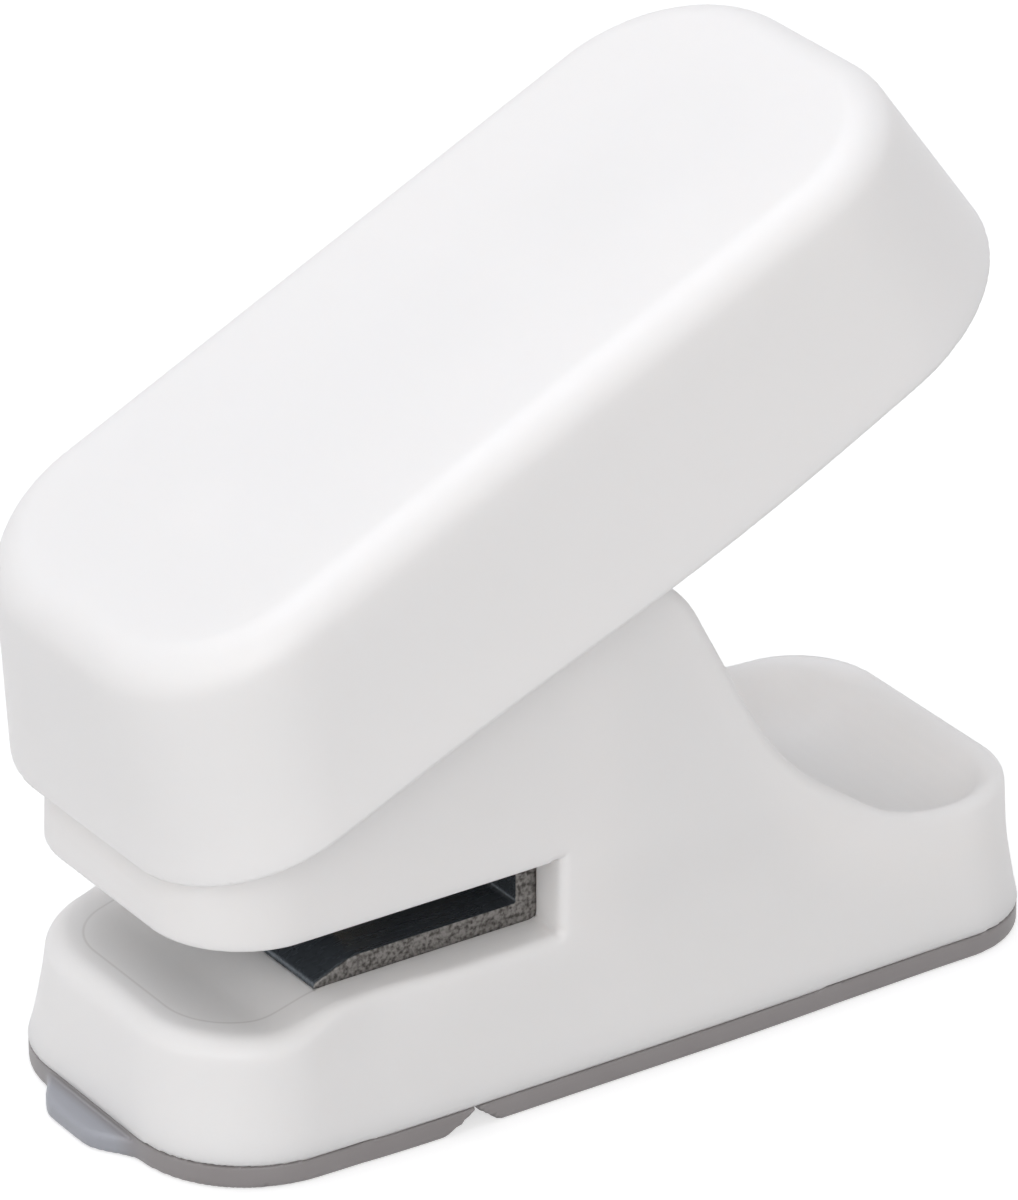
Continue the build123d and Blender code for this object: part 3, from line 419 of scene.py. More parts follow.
def handle(p):
    """Distance to the press handle with its inside."""
    q = handle_place(p)
    along, y, over = q
    # The lower rim sags a little in the middle and towards the rear
    share = (along - 31.0) / 36.0
    sag = ramp(1.0 - np.abs(along - 38.0) / 26.0)
    depth = DEPTH + 0.6 * share - 0.3 * share ** 2 + 0.7 * sag
    body = round_both(handle_walls(q, 0.0), over, 2.3)
    body = round_both(body, -over - depth, 0.35)
    hollow = round_both(handle_walls(q, SKIN), over + 2.2, 1.2)
    body = carve(body, hollow, 0.35)
    # Ladder of ribs at the rear, screw bosses of the lever, and the two rest stops
    ribs = np.maximum(np.abs(np.abs(y) - RIB_SIDE) - RIB / 2, np.abs(along - RIB_MIDDLE) - RIB_REACH)
    for n in range(4):
        at = RIB_FRONT + RIB_SPAN * n / 3 + RIB / 2
        ribs = np.minimum(ribs, np.maximum(np.abs(along - at) - RIB / 2, 4.9 - np.abs(y)))
    ribs = np.maximum(ribs, -5.4 - over)
    bosses = np.full_like(along, 1e3)
    for place in BOSS_SHARES:
        post = np.hypot(along - place * LENGTH, y) - 2.8
        bosses = np.minimum(bosses, np.maximum(post, -3.6 - over))
    stops = block((p[0], np.abs(y), p[2]), (-34.6, 1.8, 22.6), (-30.5, 3.0, 27.0))
    inside = np.minimum(np.minimum(ribs, bosses), stops)
    # What stands inside is kept within the walls
    outer = round_both(handle_walls(q, 0.6), over + 0.8, 1.0)
    outer = np.maximum(outer, -over - depth + 0.2)
    return round_union(body, np.maximum(inside, outer), 0.3)


# Sizes of the grey cover: edge, lip inside the housing, living hinge and finger tab

COVER_EDGE = 0.35
LIP_TOP = 3.6
HINGE_X, HINGE_Z, HINGE_ROUND = -13.4, 1.425, 0.175
# The two sides of the hinge's groove as (x, z), run down past the underside
GROOVE_TOP = 1.25
GROOVE_REAR = ((-13.025, GROOVE_TOP), (-11.4, 0), (-11.1, -1))
GROOVE_FRONT = ((HINGE_X, GROOVE_TOP), (-15.7, 0), (-16.0, -1))
TAB_FRONT, TAB_REAR = -35.3, -28.5
TAB_HALF, TAB_THICK, TAB_CORNER = 4.7, 1.3, 3.06


def cover_walls(p):
    """Plan outline of the grey cover."""
    x, y, z = p
    foot = (x, y, np.full_like(z, COVER))
    return side_walls(foot, 0.1)


def cover_plate(p):
    """Distance to the whole plate with its lower edge rounded."""
    z = p[2]
    return np.maximum(round_both(cover_walls(p), -z, COVER_EDGE), z - COVER)


def cover_lip(p, side):
    """Lip that holds the cover inside the housing."""
    lip = np.maximum(side_walls(p, WALL + 0.2), -side_walls(p, WALL + 1.4))
    lip = np.maximum(np.maximum(lip, p[2] - LIP_TOP), side)
    return np.maximum(lip, 1.0 - p[2])


def rear_cover(p):
    """Distance to the rear cover with its half of the groove."""
    x, _, z = p
    keep = polygon(x, z, [(GROOVE_REAR[0][0], 20), *GROOVE_REAR, (FAR, -1), (FAR, 20)])
    # The lip is cut away where the wall between the chip chamber and the rear cavity stands
    gap = np.maximum(np.abs(x + 1.2) - 1.4, COVER - z)
    plate = np.minimum(cover_plate(p), cover_lip(p, -12.9 - x))
    return np.maximum(np.maximum(plate, keep), -gap)


def front_flap(p):
    """Distance to the chip flap with its tab and rounded hinge edge."""
    x, y, z = p
    keep = polygon(x, z, [(HINGE_X, COVER), *GROOVE_FRONT, (-FAR, -1), (-FAR, COVER)])
    outline = rect(x, y, TAB_FRONT, TAB_REAR, TAB_HALF, TAB_CORNER, TAB_CORNER)
    plan = np.maximum(round_union(cover_walls(p), outline, 1.4), x - TAB_REAR)
    middle = TAB_THICK / 2
    tab = round_both(plan, np.abs(z - middle) - middle, 0.3)
    edge = np.maximum(np.hypot(x - HINGE_X, z - HINGE_Z) - HINGE_ROUND, np.abs(y) - 14.25)
    plate = np.minimum(np.maximum(cover_plate(p), keep), tab)
    return np.minimum(np.minimum(plate, edge), cover_lip(p, x + 18.5))


# Skin of a distance shape

CORNERS = [(i, j, k) for i in (0, 1) for j in (0, 1) for k in (0, 1)]
CELL_EDGES = [(a, b) for a in range(8) for b in range(a + 1, 8)
              if sum(u != v for u, v in zip(CORNERS[a], CORNERS[b])) == 1]


def slope_of(shape, points, step=0.02):
    """Gradient of a distance shape at points."""
    out = np.empty_like(points)
    for axis in range(3):
        up, down = points.copy(), points.copy()
        up[:, axis] += step
        down[:, axis] -= step
        out[:, axis] = (shape(up.T) - shape(down.T)) / (2 * step)
    return out


def skin(shape, low, high, step):
    """Vertices, faces and normals of the shape's surface, in millimetres."""
    axes = [np.arange(a, b + step, step) for a, b in zip(low, high)]
    count = [len(a) for a in axes]
    field = np.empty(count, np.float32)
    for start in range(0, count[0], 24):
        part = axes[0][start:start + 24]
        grid = np.meshgrid(part, axes[1], axes[2], indexing="ij", sparse=True)
        field[start:start + 24] = shape(grid)
    sign = field < 0
    total = np.zeros([c - 1 for c in count], np.int8)
    for i, j, k in CORNERS:
        total += sign[i:count[0] - 1 + i, j:count[1] - 1 + j, k:count[2] - 1 + k]
    cells = np.argwhere((total > 0) & (total < 8))
    index = np.full([c - 1 for c in count], -1, np.int64)
    index[tuple(cells.T)] = np.arange(len(cells))
    values = np.stack([field[cells[:, 0] + i, cells[:, 1] + j, cells[:, 2] + k]
                       for i, j, k in CORNERS], axis=1)
    place = np.zeros((len(cells), 3))
    hits = np.zeros(len(cells))
    corner = np.array(CORNERS, float)
    for a, b in CELL_EDGES:
        va, vb = values[:, a], values[:, b]
        cross = (va < 0) != (vb < 0)
        t = np.where(cross, va / np.where(cross, va - vb, 1), 0)[:, None]
        place += np.where(cross[:, None], corner[a] + t * (corner[b] - corner[a]), 0)
        hits += cross
    points = np.array(low) + (cells + place / hits[:, None]) * step
    for _ in range(2):
        grad = slope_of(shape, points)
        size = np.maximum((grad ** 2).sum(1), 0.2)
        move = -shape(points.T)[:, None] * grad / size[:, None]
        points += np.clip(move, -0.45 * step, 0.45 * step)
    faces = []
    for axis in range(3):
        near = [slice(None)] * 3
        far = [slice(None)] * 3
        near[axis], far[axis] = slice(0, -1), slice(1, None)
        a, b = sign[tuple(near)], sign[tuple(far)]
        edges = np.argwhere(a != b)
        others = [n for n in range(3) if n != axis]
        keep = np.ones(len(edges), bool)
        for n in others:
            keep &= (edges[:, n] > 0) & (edges[:, n] < count[n] - 1)
        edges = edges[keep]
        inside = a[tuple(edges.T)]
        ring = []
        for du, dv in ((-1, -1), (0, -1), (0, 0), (-1, 0)):
            cell = edges.copy()
            cell[:, others[0]] += du
            cell[:, others[1]] += dv
            ring.append(index[tuple(cell.T)])
        quad = np.stack(ring, axis=1)
        if axis == 1:
            inside = ~inside
        faces.append(np.where(inside[:, None], quad, quad[:, ::-1]))
    normals = slope_of(shape, points)
    normals /= np.maximum(np.linalg.norm(normals, axis=1), 1e-6)[:, None]
    return points, np.concatenate(faces), normals


def shell(name, shape, low, high, step, material):
    """Object with the skin of a distance shape and the shape's own normals."""
    points, faces, normals = skin(shape, low, high, step)
    mesh = bpy.data.meshes.new(name)
    mesh.vertices.add(len(points))
    mesh.vertices.foreach_set("co", (points * MM).astype(np.float32).ravel())
    mesh.loops.add(faces.size)
    mesh.loops.foreach_set("vertex_index", faces.astype(np.int32).ravel())
    mesh.polygons.add(len(faces))
    mesh.polygons.foreach_set("loop_start", np.arange(0, faces.size, 4, dtype=np.int32))
    mesh.update(calc_edges=True)
    mesh.validate()
    mesh.shade_smooth()
    mesh.normals_split_custom_set_from_vertices([tuple(n) for n in normals])
    obj = bpy.data.objects.new(name, mesh)
    bpy.context.scene.collection.objects.link(obj)
    mesh.materials.append(material)
    return obj


# Materials. Noise scales are features per metre, so 1000 divided by one gives its grain in
# millimetres. Tool marks and grit are really finer and are drawn as coarse as the render shows.

# The line of the tool insert: half its width across, how far forward it lies, its corner radius,
# where it starts, and the level of the floor that carries it with the most it may be off that
LINE_HALF, LINE_FRONT, LINE_CORNER, LINE_REAR = 9.3, 30.3, 5.0, 21.5
LINE_LEVEL, LINE_DEPTH = 10.2, 0.9


def insert_line(tree, place):
    """Strength of the line that a tool insert leaves on the floor of the mouth.

    Seen from above it is a rounded rectangle. It is drawn a tenth of a millimetre wide on each
    side, wider than it really is, so that it shows.
    """
    parts = add(tree, "ShaderNodeSeparateXYZ", {"Vector": place}).outputs
    reach = add(tree, "ShaderNodeMath", {0: parts["X"], 1: -1.0}, operation="MULTIPLY")
    side = add(tree, "ShaderNodeMath", {0: parts["Y"]}, operation="ABSOLUTE")
    # Distance from the inner corner of the path, and how far that is off the path itself
    squares = []
    for value, end in ((side, LINE_HALF), (reach, LINE_FRONT)):
        past = add(tree, "ShaderNodeMath", {0: value, 1: (end - LINE_CORNER) * MM}, operation="SUBTRACT")
        past = add(tree, "ShaderNodeMath", {0: past, 1: 0.0}, operation="MAXIMUM")
        squares.append(add(tree, "ShaderNodeMath", {0: past, 1: past}, operation="MULTIPLY"))
    total = add(tree, "ShaderNodeMath", {0: squares[0], 1: squares[1]}, operation="ADD")
    length = add(tree, "ShaderNodeMath", {0: total}, operation="SQRT")
    off = add(tree, "ShaderNodeMath", {0: length, 1: LINE_CORNER * MM}, operation="SUBTRACT")
    off = add(tree, "ShaderNodeMath", {0: off}, operation="ABSOLUTE")
    line = add(tree, "ShaderNodeMapRange", {
        "Value": off, "From Min": 0.03 * MM, "From Max": 0.13 * MM, "To Min": 0.35, "To Max": 0.0,
    })
    # Only on the floor of the mouth
    height = add(tree, "ShaderNodeMath", {0: parts["Z"], 1: LINE_LEVEL * MM}, operation="SUBTRACT")
    height = add(tree, "ShaderNodeMath", {0: height}, operation="ABSOLUTE")
    level = add(tree, "ShaderNodeMath", {0: height, 1: LINE_DEPTH * MM}, operation="LESS_THAN")
    mouth = add(tree, "ShaderNodeMath", {0: reach, 1: LINE_REAR * MM}, operation="GREATER_THAN")
    line = add(tree, "ShaderNodeMath", {0: line, 1: level}, operation="MULTIPLY")
    return add(tree, "ShaderNodeMath", {0: line, 1: mouth}, operation="MULTIPLY")


def white_plastic(colour, rough):
    """Injection-moulded ABS, from a fine spark-eroded tool."""
    # Warm white with a satin sheen, a soft glow at edges and in thin walls, and shaded places
    # that stay light
    mat, tree = blank("white_abs")
    place = add(tree, "ShaderNodeTexCoord").outputs["Object"]
    tool = add(tree, "ShaderNodeTexNoise", {"Vector": place, "Scale": 3200.0, "Detail": 3.0})
    flow = add(tree, "ShaderNodeTexNoise", {"Vector": place, "Scale": 60.0, "Detail": 2.0})
    sheen = add(tree, "ShaderNodeTexNoise", {"Vector": place, "Scale": 450.0, "Detail": 4.0})
    plain = add(tree, "ShaderNodeMix", {
        "Factor": flow, "A": linear(colour), "B": linear("#F3F1EF"),
    }, data_type="RGBA")
    lined = add(tree, "ShaderNodeMix", {
        "Factor": insert_line(tree, place), "A": plain, "B": linear("#B9B4B0"),
    }, data_type="RGBA")
    gloss = add(tree, "ShaderNodeMapRange", {
        "Value": sheen, "To Min": rough - 0.05, "To Max": rough + 0.05,
    })
    relief = add(tree, "ShaderNodeBump", {"Height": tool, "Strength": 0.06, "Distance": 0.02 * MM})
    shader = add(tree, "ShaderNodeBsdfPrincipled", {
        "IOR": 1.54,
        "Subsurface Weight": 0.6,
        "Subsurface Radius": (1.0, 0.95, 0.92),
        "Subsurface Scale": 3.0 * MM,
        "Base Color": lined,
        "Roughness": gloss,
        "Normal": relief,
    })
    add(tree, "ShaderNodeOutputMaterial", {"Surface": shader})
    return mat


def grey_plastic(colour):
    """Soft low-density polyethylene, moulded in a finely etched tool."""
    # Smoky grey, slightly clear and waxy; the thin tab is painted paler and bluish, as light shining through
    # it
    mat, tree = blank("grey_polyethylene")
    place = add(tree, "ShaderNodeTexCoord").outputs["Object"]
    parts = add(tree, "ShaderNodeSeparateXYZ", {"Vector": place}).outputs
    cloud = add(tree, "ShaderNodeTexNoise", {"Vector": place, "Scale": 220.0, "Detail": 3.0})
    sheen = add(tree, "ShaderNodeTexNoise", {"Vector": place, "Scale": 900.0, "Detail": 4.0})
    etch = add(tree, "ShaderNodeTexNoise", {"Vector": place, "Scale": 2600.0, "Detail": 4.0})
    # Painted light: towards the front the tab's colour is mixed towards a pale blue grey for light shining
    # through it
    tab = add(tree, "ShaderNodeMapRange", {
        "Value": parts["X"], "From Min": -33.2 * MM, "From Max": -34.2 * MM,
    })
    body = add(tree, "ShaderNodeMix", {
        "Factor": cloud, "A": linear(colour), "B": linear("#979393"),
    }, data_type="RGBA")
    tab_through_light = add(tree, "ShaderNodeMix", {
        "Factor": tab, "A": body, "B": linear("#A1A3AA"),
    }, data_type="RGBA")
    shader = add(tree, "ShaderNodeBsdfPrincipled", {
        "IOR": 1.51,
        "Subsurface Weight": 0.35,
        "Subsurface Radius": (1.0, 0.95, 0.95),
        "Subsurface Scale": 1.5 * MM,
        "Base Color": tab_through_light,
        "Roughness": add(tree, "ShaderNodeMapRange", {"Value": sheen, "To Min": 0.38, "To Max": 0.5}),
        "Normal": add(tree, "ShaderNodeBump", {"Height": etch, "Strength": 0.1, "Distance": 0.02 * MM}),
    })
    add(tree, "ShaderNodeOutputMaterial", {"Surface": shader})
    return mat


def sheared_steel(face, cut):
    """Cold-rolled steel strip, oiled dark, with sheared edges."""
    # Dark, nearly mirror-smooth faces with faint rolling streaks; the sides that the shear tore
    # are pale, dull and granular
    mat, tree = blank("sheared_steel")
    coords = add(tree, "ShaderNodeTexCoord").outputs
    place = coords["Object"]
    across = add(tree, "ShaderNodeSeparateXYZ", {"Vector": coords["Normal"]}).outputs["Y"]
    flank = add(tree, "ShaderNodeMath", {0: across}, operation="ABSOLUTE")
    edge = add(tree, "ShaderNodeMapRange", {"Value": flank, "From Min": 0.5, "From Max": 0.8})
    grit = add(tree, "ShaderNodeTexNoise", {
        "Vector": place, "Scale": 2300.0, "Detail": 5.0, "Roughness": 0.7,
    })
    pits = add(tree, "ShaderNodeTexNoise", {"Vector": place, "Scale": 3600.0, "Detail": 2.0})
    speck = add(tree, "ShaderNodeMapRange", {"Value": pits, "To Min": -1.2, "To Max": 2.4})
    torn = add(tree, "ShaderNodeMix", {
        "Factor": speck, "A": linear("#4A4744"), "B": linear(cut),
    }, data_type="RGBA")
    roll = add(tree, "ShaderNodeMapping", {"Vector": place, "Scale": (0.05, 1.0, 1.0)})
    grain = add(tree, "ShaderNodeTexNoise", {"Vector": roll, "Scale": 1800.0, "Detail": 4.0})
    rolled = add(tree, "ShaderNodeMix", {
        "Factor": grain, "A": linear(face), "B": linear("#50565C"),
    }, data_type="RGBA")
    smooth = add(tree, "ShaderNodeMapRange", {"Value": grain, "To Min": 0.2, "To Max": 0.34})
    dull = add(tree, "ShaderNodeMapRange", {"Value": grit, "To Min": 0.35, "To Max": 0.6})
    height = add(tree, "ShaderNodeMath", {0: grit, 1: edge}, operation="MULTIPLY")
    shader = add(tree, "ShaderNodeBsdfPrincipled", {
        "Metallic": 0.6,
        "Base Color": add(tree, "ShaderNodeMix", {"Factor": edge, "A": rolled, "B": torn}, data_type="RGBA"),
        "Roughness": add(tree, "ShaderNodeMix", {"Factor": edge, "A": smooth, "B": dull}, data_type="FLOAT"),
        "Normal": add(tree, "ShaderNodeBump", {"Height": height, "Strength": 0.7, "Distance": 0.12 * MM}),
    })
    add(tree, "ShaderNodeOutputMaterial", {"Surface": shader})
    return mat


def metal(name, colour, second, rough, scale, depth):
    """Plated, ground, drawn or turned metal."""
    # Two close tones and a roughness that follow the working marks
    mat, tree = blank(name)
    place = add(tree, "ShaderNodeTexCoord").outputs["Object"]
    marks = add(tree, "ShaderNodeTexNoise", {"Vector": place, "Scale": scale, "Detail": 4.0})
    tone = add(tree, "ShaderNodeMix", {
        "Factor": marks, "A": linear(colour), "B": linear(second),
    }, data_type="RGBA")
    gloss = add(tree, "ShaderNodeMapRange", {
        "Value": marks, "To Min": rough - 0.06, "To Max": rough + 0.08,
    })
    shader = add(tree, "ShaderNodeBsdfPrincipled", {
        "Metallic": 1.0,
        "Base Color": tone,
        "Roughness": gloss,
        "Normal": add(tree, "ShaderNodeBump", {"Height": marks, "Strength": 0.15, "Distance": depth * MM}),
    })
    add(tree, "ShaderNodeOutputMaterial", {"Surface": shader})
    return mat


def look():
    """Settings of the panel."""
    return bpy.context.scene.hole_punch_look


# Operators, one for each piece or group of like pieces

class LookSettings(bpy.types.PropertyGroup):
    """Colours, gloss and fineness that the pieces share."""

    shell_red: bpy.props.FloatProperty(
        name="Shell red", description="sRGB red of the white shell", default=0.955, min=0, max=1)
    shell_green: bpy.props.FloatProperty(
        name="Shell green", description="sRGB green of the white shell", default=0.95, min=0, max=1)
    shell_blue: bpy.props.FloatProperty(
        name="Shell blue", description="sRGB blue of the white shell", default=0.945, min=0, max=1)
    shell_roughness: bpy.props.FloatProperty(
        name="Shell roughness", description="Mean roughness of the white plastic",
        default=0.42, min=0.1, max=0.9, subtype="FACTOR")
    mesh_step: bpy.props.FloatProperty(
        name="Mesh step", description="Cell size of the moulded shells",
        default=0.0003, min=0.00015, max=0.002, unit="LENGTH")
    key_power: bpy.props.FloatProperty(
        name="Lamps", description="Factor on the power of all three lamps",
        default=1.0, min=0, max=10)


def hex_of(red, green, blue):
    """sRGB hex code of three shares."""
    return "#" + "".join("%02X" % round(255 * c) for c in (red, green, blue))


def shell_material():
    """The white plastic, made once."""
    mat = bpy.data.materials.get("white_abs")
    if mat is None:
        s = look()
        mat = white_plastic(hex_of(s.shell_red, s.shell_green, s.shell_blue), s.shell_roughness)
    return mat


def cover_material():
    """The grey plastic, made once."""
    return bpy.data.materials.get("grey_polyethylene") or grey_plastic("#8C8787")


def paint(node, material):
    """Gives a carried-over node its material."""
    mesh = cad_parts[node].data
    mesh.materials.clear()
    mesh.materials.append(material)


class BuildHousing(bpy.types.Operator):
    """Build the white housing with its soft edges, throat, finger dish and hollow underside"""

    bl_idname = "hole_punch.housing"
    bl_label = "Build housing"

    def execute(self, context):
        step = look().mesh_step / MM
        obj = shell("housing_shell", housing, (-34.25, -15.3, 1.05), (34.2, 15.3, 35.2), step,
                    shell_material())
        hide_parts("main_housing")
        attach(obj, "housing")
        return {"FINISHED"}


class BuildHandle(bpy.types.Operator):
    """Build the white press handle with its softly rounded top, ribs and bosses"""

    bl_idname = "hole_punch.handle"
    bl_label = "Build handle"

    def execute(self, context):
        step = look().mesh_step / MM
        obj = shell("handle_shell", handle, (-35.9, -17.4, 20.0), (32.4, 17.4, 63.9), step,
                    shell_material())
        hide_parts("press_handle")
        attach(obj, "handle")
        return {"FINISHED"}


class BuildCovers(bpy.types.Operator):
    """Build the grey base cover and the chip flap with its tab"""

    bl_idname = "hole_punch.covers"
    bl_label = "Build covers"

    def execute(self, context):
        step = look().mesh_step / MM
        rear = shell("cover_shell", rear_cover, (-13.6, -15.0, -0.55), (34.0, 15.0, 4.1), step,
                     cover_material())
        flap = shell("flap_shell", front_flap, (-35.9, -15.0, -0.55), (-12.8, 15.0, 4.1), step,
                     cover_material())
        for obj, node, body in ((rear, "base_cover", "housing"), (flap, "chip_flap", "flap")):
            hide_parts(node)
            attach(obj, body)
        return {"FINISHED"}


class BuildStrip(bpy.types.Operator):
    """Build the steel frame round the throat, with sheared edges and a bevelled front"""

    bl_idname = "hole_punch.strip"
    bl_label = "Build steel frame"

    def execute(self, context):
        obj = shell("steel_strip", strip, (-28.65, -9.45, 10.15), (-4.9, 9.45, 32.4), 0.2,
                    sheared_steel("#5E646A", "#8E8B88"))
        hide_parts("steel_frame")
        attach(obj, "housing")
        return {"FINISHED"}


class BuildSpring(bpy.types.Operator):
    """Build the return spring of round wire as one smooth coil"""

    bl_idname = "hole_punch.spring"
    bl_label = "Build spring"

    def execute(self, context):
        low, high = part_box("punch_spring")
        wire, radius, turns = SPRING_WIRE * MM, SPRING_ROUND * MM, SPRING_TURNS
        steps, sides = 360, 16
        bottom, top = low[2] + wire, high[2] - wire
        lead = (top - bottom) / (2 * pi * turns)
        points, faces = [], []
        for n in range(steps + 1):
            turn = 2 * pi * turns * n / steps
            middle = Vector((PUNCH_X * MM + radius * cos(turn), radius * sin(turn), bottom + lead * turn))
            out = Vector((cos(turn), sin(turn), 0))
            along = Vector((-radius * sin(turn), radius * cos(turn), lead)).normalized()
            side = along.cross(out)
            for k in range(sides):
                a = 2 * pi * k / sides
                points.append(middle + wire * (out * cos(a) + side * sin(a)))
        for n in range(steps):
            for k in range(sides):
                m = (k + 1) % sides
                faces.append((n * sides + k, n * sides + m, (n + 1) * sides + m, (n + 1) * sides + k))
        faces.append(tuple(range(sides))[::-1])
        faces.append(tuple(steps * sides + k for k in range(sides)))
        mesh = bpy.data.meshes.new("spring_coil")
        mesh.from_pydata(points, [], faces)
        mesh.shade_smooth()
        obj = bpy.data.objects.new("spring_coil", mesh)
        context.scene.collection.objects.link(obj)
        mesh.materials.append(metal("spring_wire", "#8B8D90", "#6F7174", 0.32, 1500.0, 0.01))
        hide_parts("punch_spring")
        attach(obj, "housing")
        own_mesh(obj)
        return {"FINISHED"}


class PaintMetal(bpy.types.Operator):
    """Paint the metal pieces that keep their solid shape"""

    bl_idname = "hole_punch.metal"
    bl_label = "Paint metal"

    def execute(self, context):
        zinc = metal("zinc_plate", "#B9BCC0", "#9DA2A8", 0.3, 700.0, 0.01)
        ground = metal("ground_steel", "#A9ABAE", "#8E9094", 0.22, 2600.0, 0.008)
        stamped = metal("spring_strip", "#7D7F82", "#65676A", 0.34, 1500.0, 0.01)
        brass = metal("turned_brass", "#C9A45A", "#B08C46", 0.28, 1900.0, 0.01)
        table = {
            "handle_lever": zinc, "spring_washer": zinc,
            "lever_screw_1": zinc, "lever_screw_2": zinc, "lever_screw_3": zinc,
            "hinge_pin": ground, "punch_pin": ground, "drive_pin": ground,
            "hinge_clip": stamped, "punch_clip": stamped,
            "guide_bush": brass,
        }
        for node, material in table.items():
            paint(node, material)
        return {"FINISHED"}


# The stage, in metres: lamps as (name, place, side of the square, watts, colour), then the
# camera as fitted to the photo, its lens in pixels of a frame 1200 high

MIDDLE = (0.0, 0.0, 0.03)
LAMPS = (
    ("top_light", (-0.05, 0.1, 0.75), 0.7, 2.5, "#F3F7FF"),
    ("front_light", (-0.75, -0.25, 0.3), 0.5, 0.8, "#FFFFFF"),
    ("side_light", (-0.42, -0.66, 0.4), 0.5, 1.7, "#FFFFFF"),
)
CAMERA_TURN, CAMERA_RISE, CAMERA_ROLL = radians(-33.64), radians(26.66), radians(-0.14)
CAMERA_DISTANCE = 0.5686
CAMERA_RIGHT, CAMERA_UP = -0.00106, 0.02517
CAMERA_LENS, FRAME_HEIGHT = 8622.0, 1200.0
SENSOR = 36.0
FLOOR_HALF = 3.0
# The floor lies a hair lower than the rest face, so that the two don't flicker from below
FLOOR_DROP = -0.05 * MM


def area_light(name, place, size, power, colour):
    """Soft square lamp aimed at the middle of the punch."""
    lamp = bpy.data.lights.new(name, "AREA")
    lamp.shape = "RECTANGLE"
    lamp.size, lamp.size_y = size, size
    lamp.energy = power
    lamp.color = linear(colour)[:3]
    obj = bpy.data.objects.new(name, lamp)
    bpy.context.scene.collection.objects.link(obj)
    obj.location = place
    aim = Vector(MIDDLE) - Vector(place)
    obj.rotation_euler = aim.to_track_quat("-Z", "Y").to_euler()


def build_floor(scene):
    """Matt pale floor that the camera sees as white, with the punch's soft shadow on it."""
    mesh = bpy.data.meshes.new("floor")
    s, drop = FLOOR_HALF, FLOOR_DROP
    mesh.from_pydata([(-s, -s, drop), (s, -s, drop), (s, s, drop), (-s, s, drop)], [], [(0, 1, 2, 3)])
    floor = bpy.data.objects.new("floor", mesh)
    scene.collection.objects.link(floor)
    mat, tree = blank("floor_white")
    matt = add(tree, "ShaderNodeBsdfDiffuse", {"Color": linear("#CCCCCC")})
    glow = add(tree, "ShaderNodeEmission", {"Color": (1, 1, 1, 1), "Strength": 0.6})
    both = add(tree, "ShaderNodeAddShader", {0: matt, 1: glow})
    mix = add(tree, "ShaderNodeMixShader", {0: camera_or_gloss(tree), 1: matt, 2: both})
    add(tree, "ShaderNodeOutputMaterial", {"Surface": mix})
    mesh.materials.append(mat)


def build_world(scene):
    """White surroundings for the camera, and softer light that is brightest near the horizon."""
    world = bpy.data.worlds.new("studio")
    scene.world = world
    world.use_nodes = True
    tree = world.node_tree
    tree.nodes.clear()
    way = add(tree, "ShaderNodeTexCoord").outputs["Generated"]
    height = add(tree, "ShaderNodeSeparateXYZ", {"Vector": way}).outputs["Z"]
    fade = add(tree, "ShaderNodeMapRange", {"Value": height, "To Min": 0.82, "To Max": 0.36})
    dim = add(tree, "ShaderNodeBackground", {"Color": linear("#F7F5F5"), "Strength": fade})
    white = add(tree, "ShaderNodeBackground", {"Color": (1, 1, 1, 1), "Strength": 1.0})
    mix = add(tree, "ShaderNodeMixShader", {0: camera_or_gloss(tree), 1: dim, 2: white})
    add(tree, "ShaderNodeOutputWorld", {"Surface": mix})


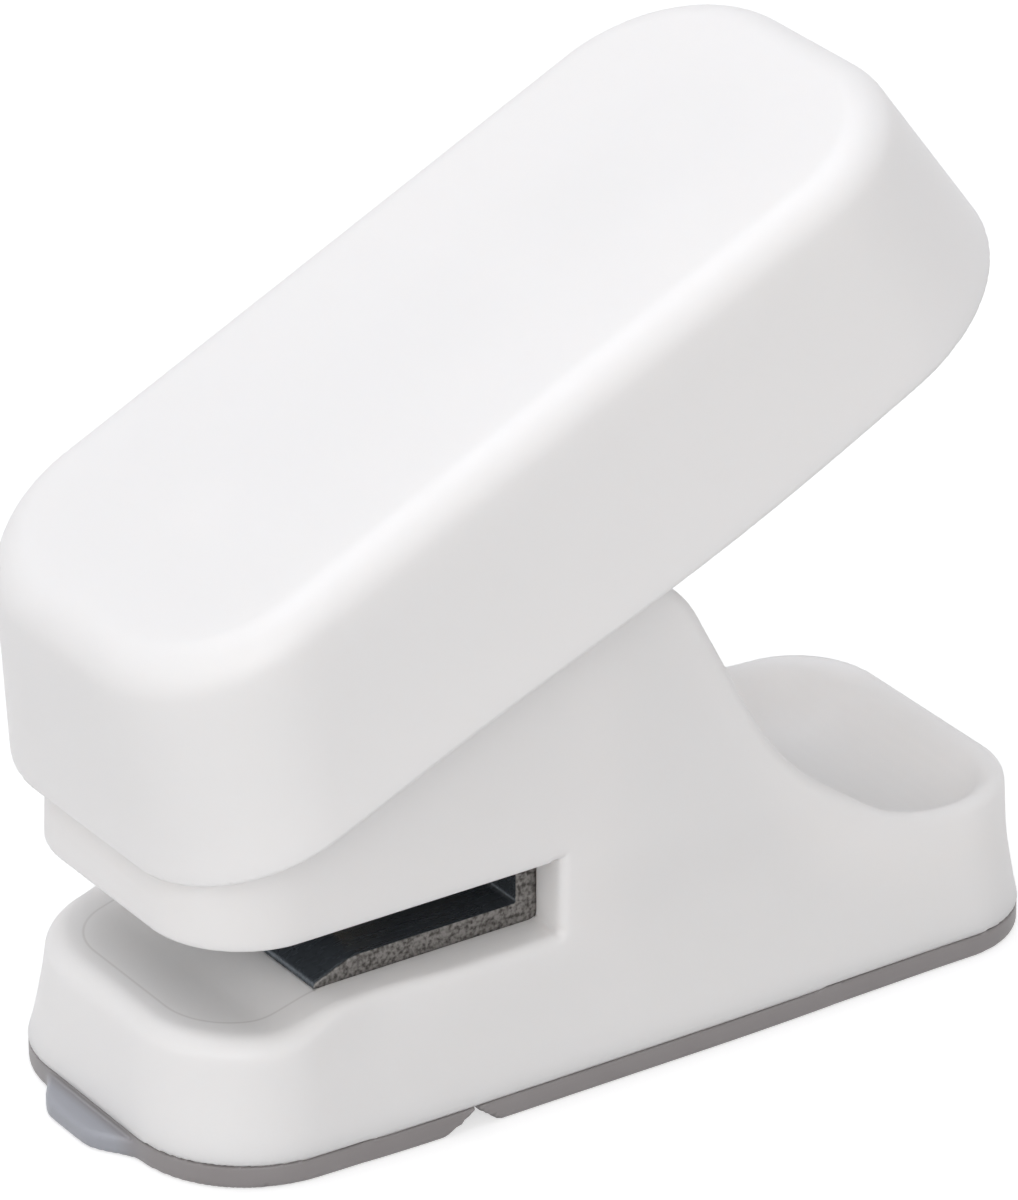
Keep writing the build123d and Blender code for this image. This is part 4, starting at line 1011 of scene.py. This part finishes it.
def build_camera(scene):
    """Camera that sees the punch as the photo does."""
    right = Vector((cos(CAMERA_TURN), sin(CAMERA_TURN), 0))
    back = Vector((sin(CAMERA_TURN) * cos(CAMERA_RISE), -cos(CAMERA_TURN) * cos(CAMERA_RISE),
                   sin(CAMERA_RISE)))
    up = back.cross(right)
    turned_right = right * cos(CAMERA_ROLL) + up * sin(CAMERA_ROLL)
    turned_up = up * cos(CAMERA_ROLL) - right * sin(CAMERA_ROLL)
    place = turned_right * CAMERA_RIGHT + turned_up * CAMERA_UP + back * CAMERA_DISTANCE
    data = bpy.data.cameras.new("photo_camera")
    data.sensor_fit = "VERTICAL"
    data.sensor_height = SENSOR
    data.lens = SENSOR * CAMERA_LENS / FRAME_HEIGHT
    camera = bpy.data.objects.new("photo_camera", data)
    scene.collection.objects.link(camera)
    turn = Matrix((turned_right, turned_up, back)).transposed()
    camera.matrix_world = Matrix.Translation(place) @ turn.to_4x4()
    scene.camera = camera


class BuildStage(bpy.types.Operator):
    """Build the pale floor, the soft studio lamps, the white surroundings and the camera"""

    bl_idname = "hole_punch.stage"
    bl_label = "Build stage"

    def execute(self, context):
        build_floor(context.scene)
        build_world(context.scene)
        for name, place, size, power, colour in LAMPS:
            area_light(name, place, size, power * look().key_power, colour)
        build_camera(context.scene)
        context.scene.view_settings.view_transform = "Standard"
        return {"FINISHED"}


class HolePunchPanel(bpy.types.Panel):
    """Sidebar panel with the settings and one button for each operator"""

    bl_idname = "VIEW3D_PT_hole_punch"
    bl_label = "Hole Punch"
    bl_space_type = "VIEW_3D"
    bl_region_type = "UI"
    bl_category = "Hole Punch"

    def draw(self, context):
        for key in LookSettings.__annotations__:
            self.layout.prop(context.scene.hole_punch_look, key)
        for operator in OPERATORS:
            self.layout.operator(operator.bl_idname)


OPERATORS = (BuildHousing, BuildHandle, BuildCovers, BuildStrip, BuildSpring, PaintMetal, BuildStage)


def register():
    """Adds the settings, the operators and the panel."""
    for cls in (LookSettings,) + OPERATORS + (HolePunchPanel,):
        bpy.utils.register_class(cls)
    bpy.types.Scene.hole_punch_look = bpy.props.PointerProperty(type=LookSettings)


def unregister():
    """Takes them away again."""
    del bpy.types.Scene.hole_punch_look
    for cls in reversed((LookSettings,) + OPERATORS + (HolePunchPanel,)):
        bpy.utils.unregister_class(cls)


def main():
    """Builds the dressed hole punch."""
    register()
    for operator in OPERATORS:
        group, name = operator.bl_idname.split(".")
        getattr(getattr(bpy.ops, group), name)()
    bpy.context.view_layer.update()


if __name__ == "__main__":
    main()
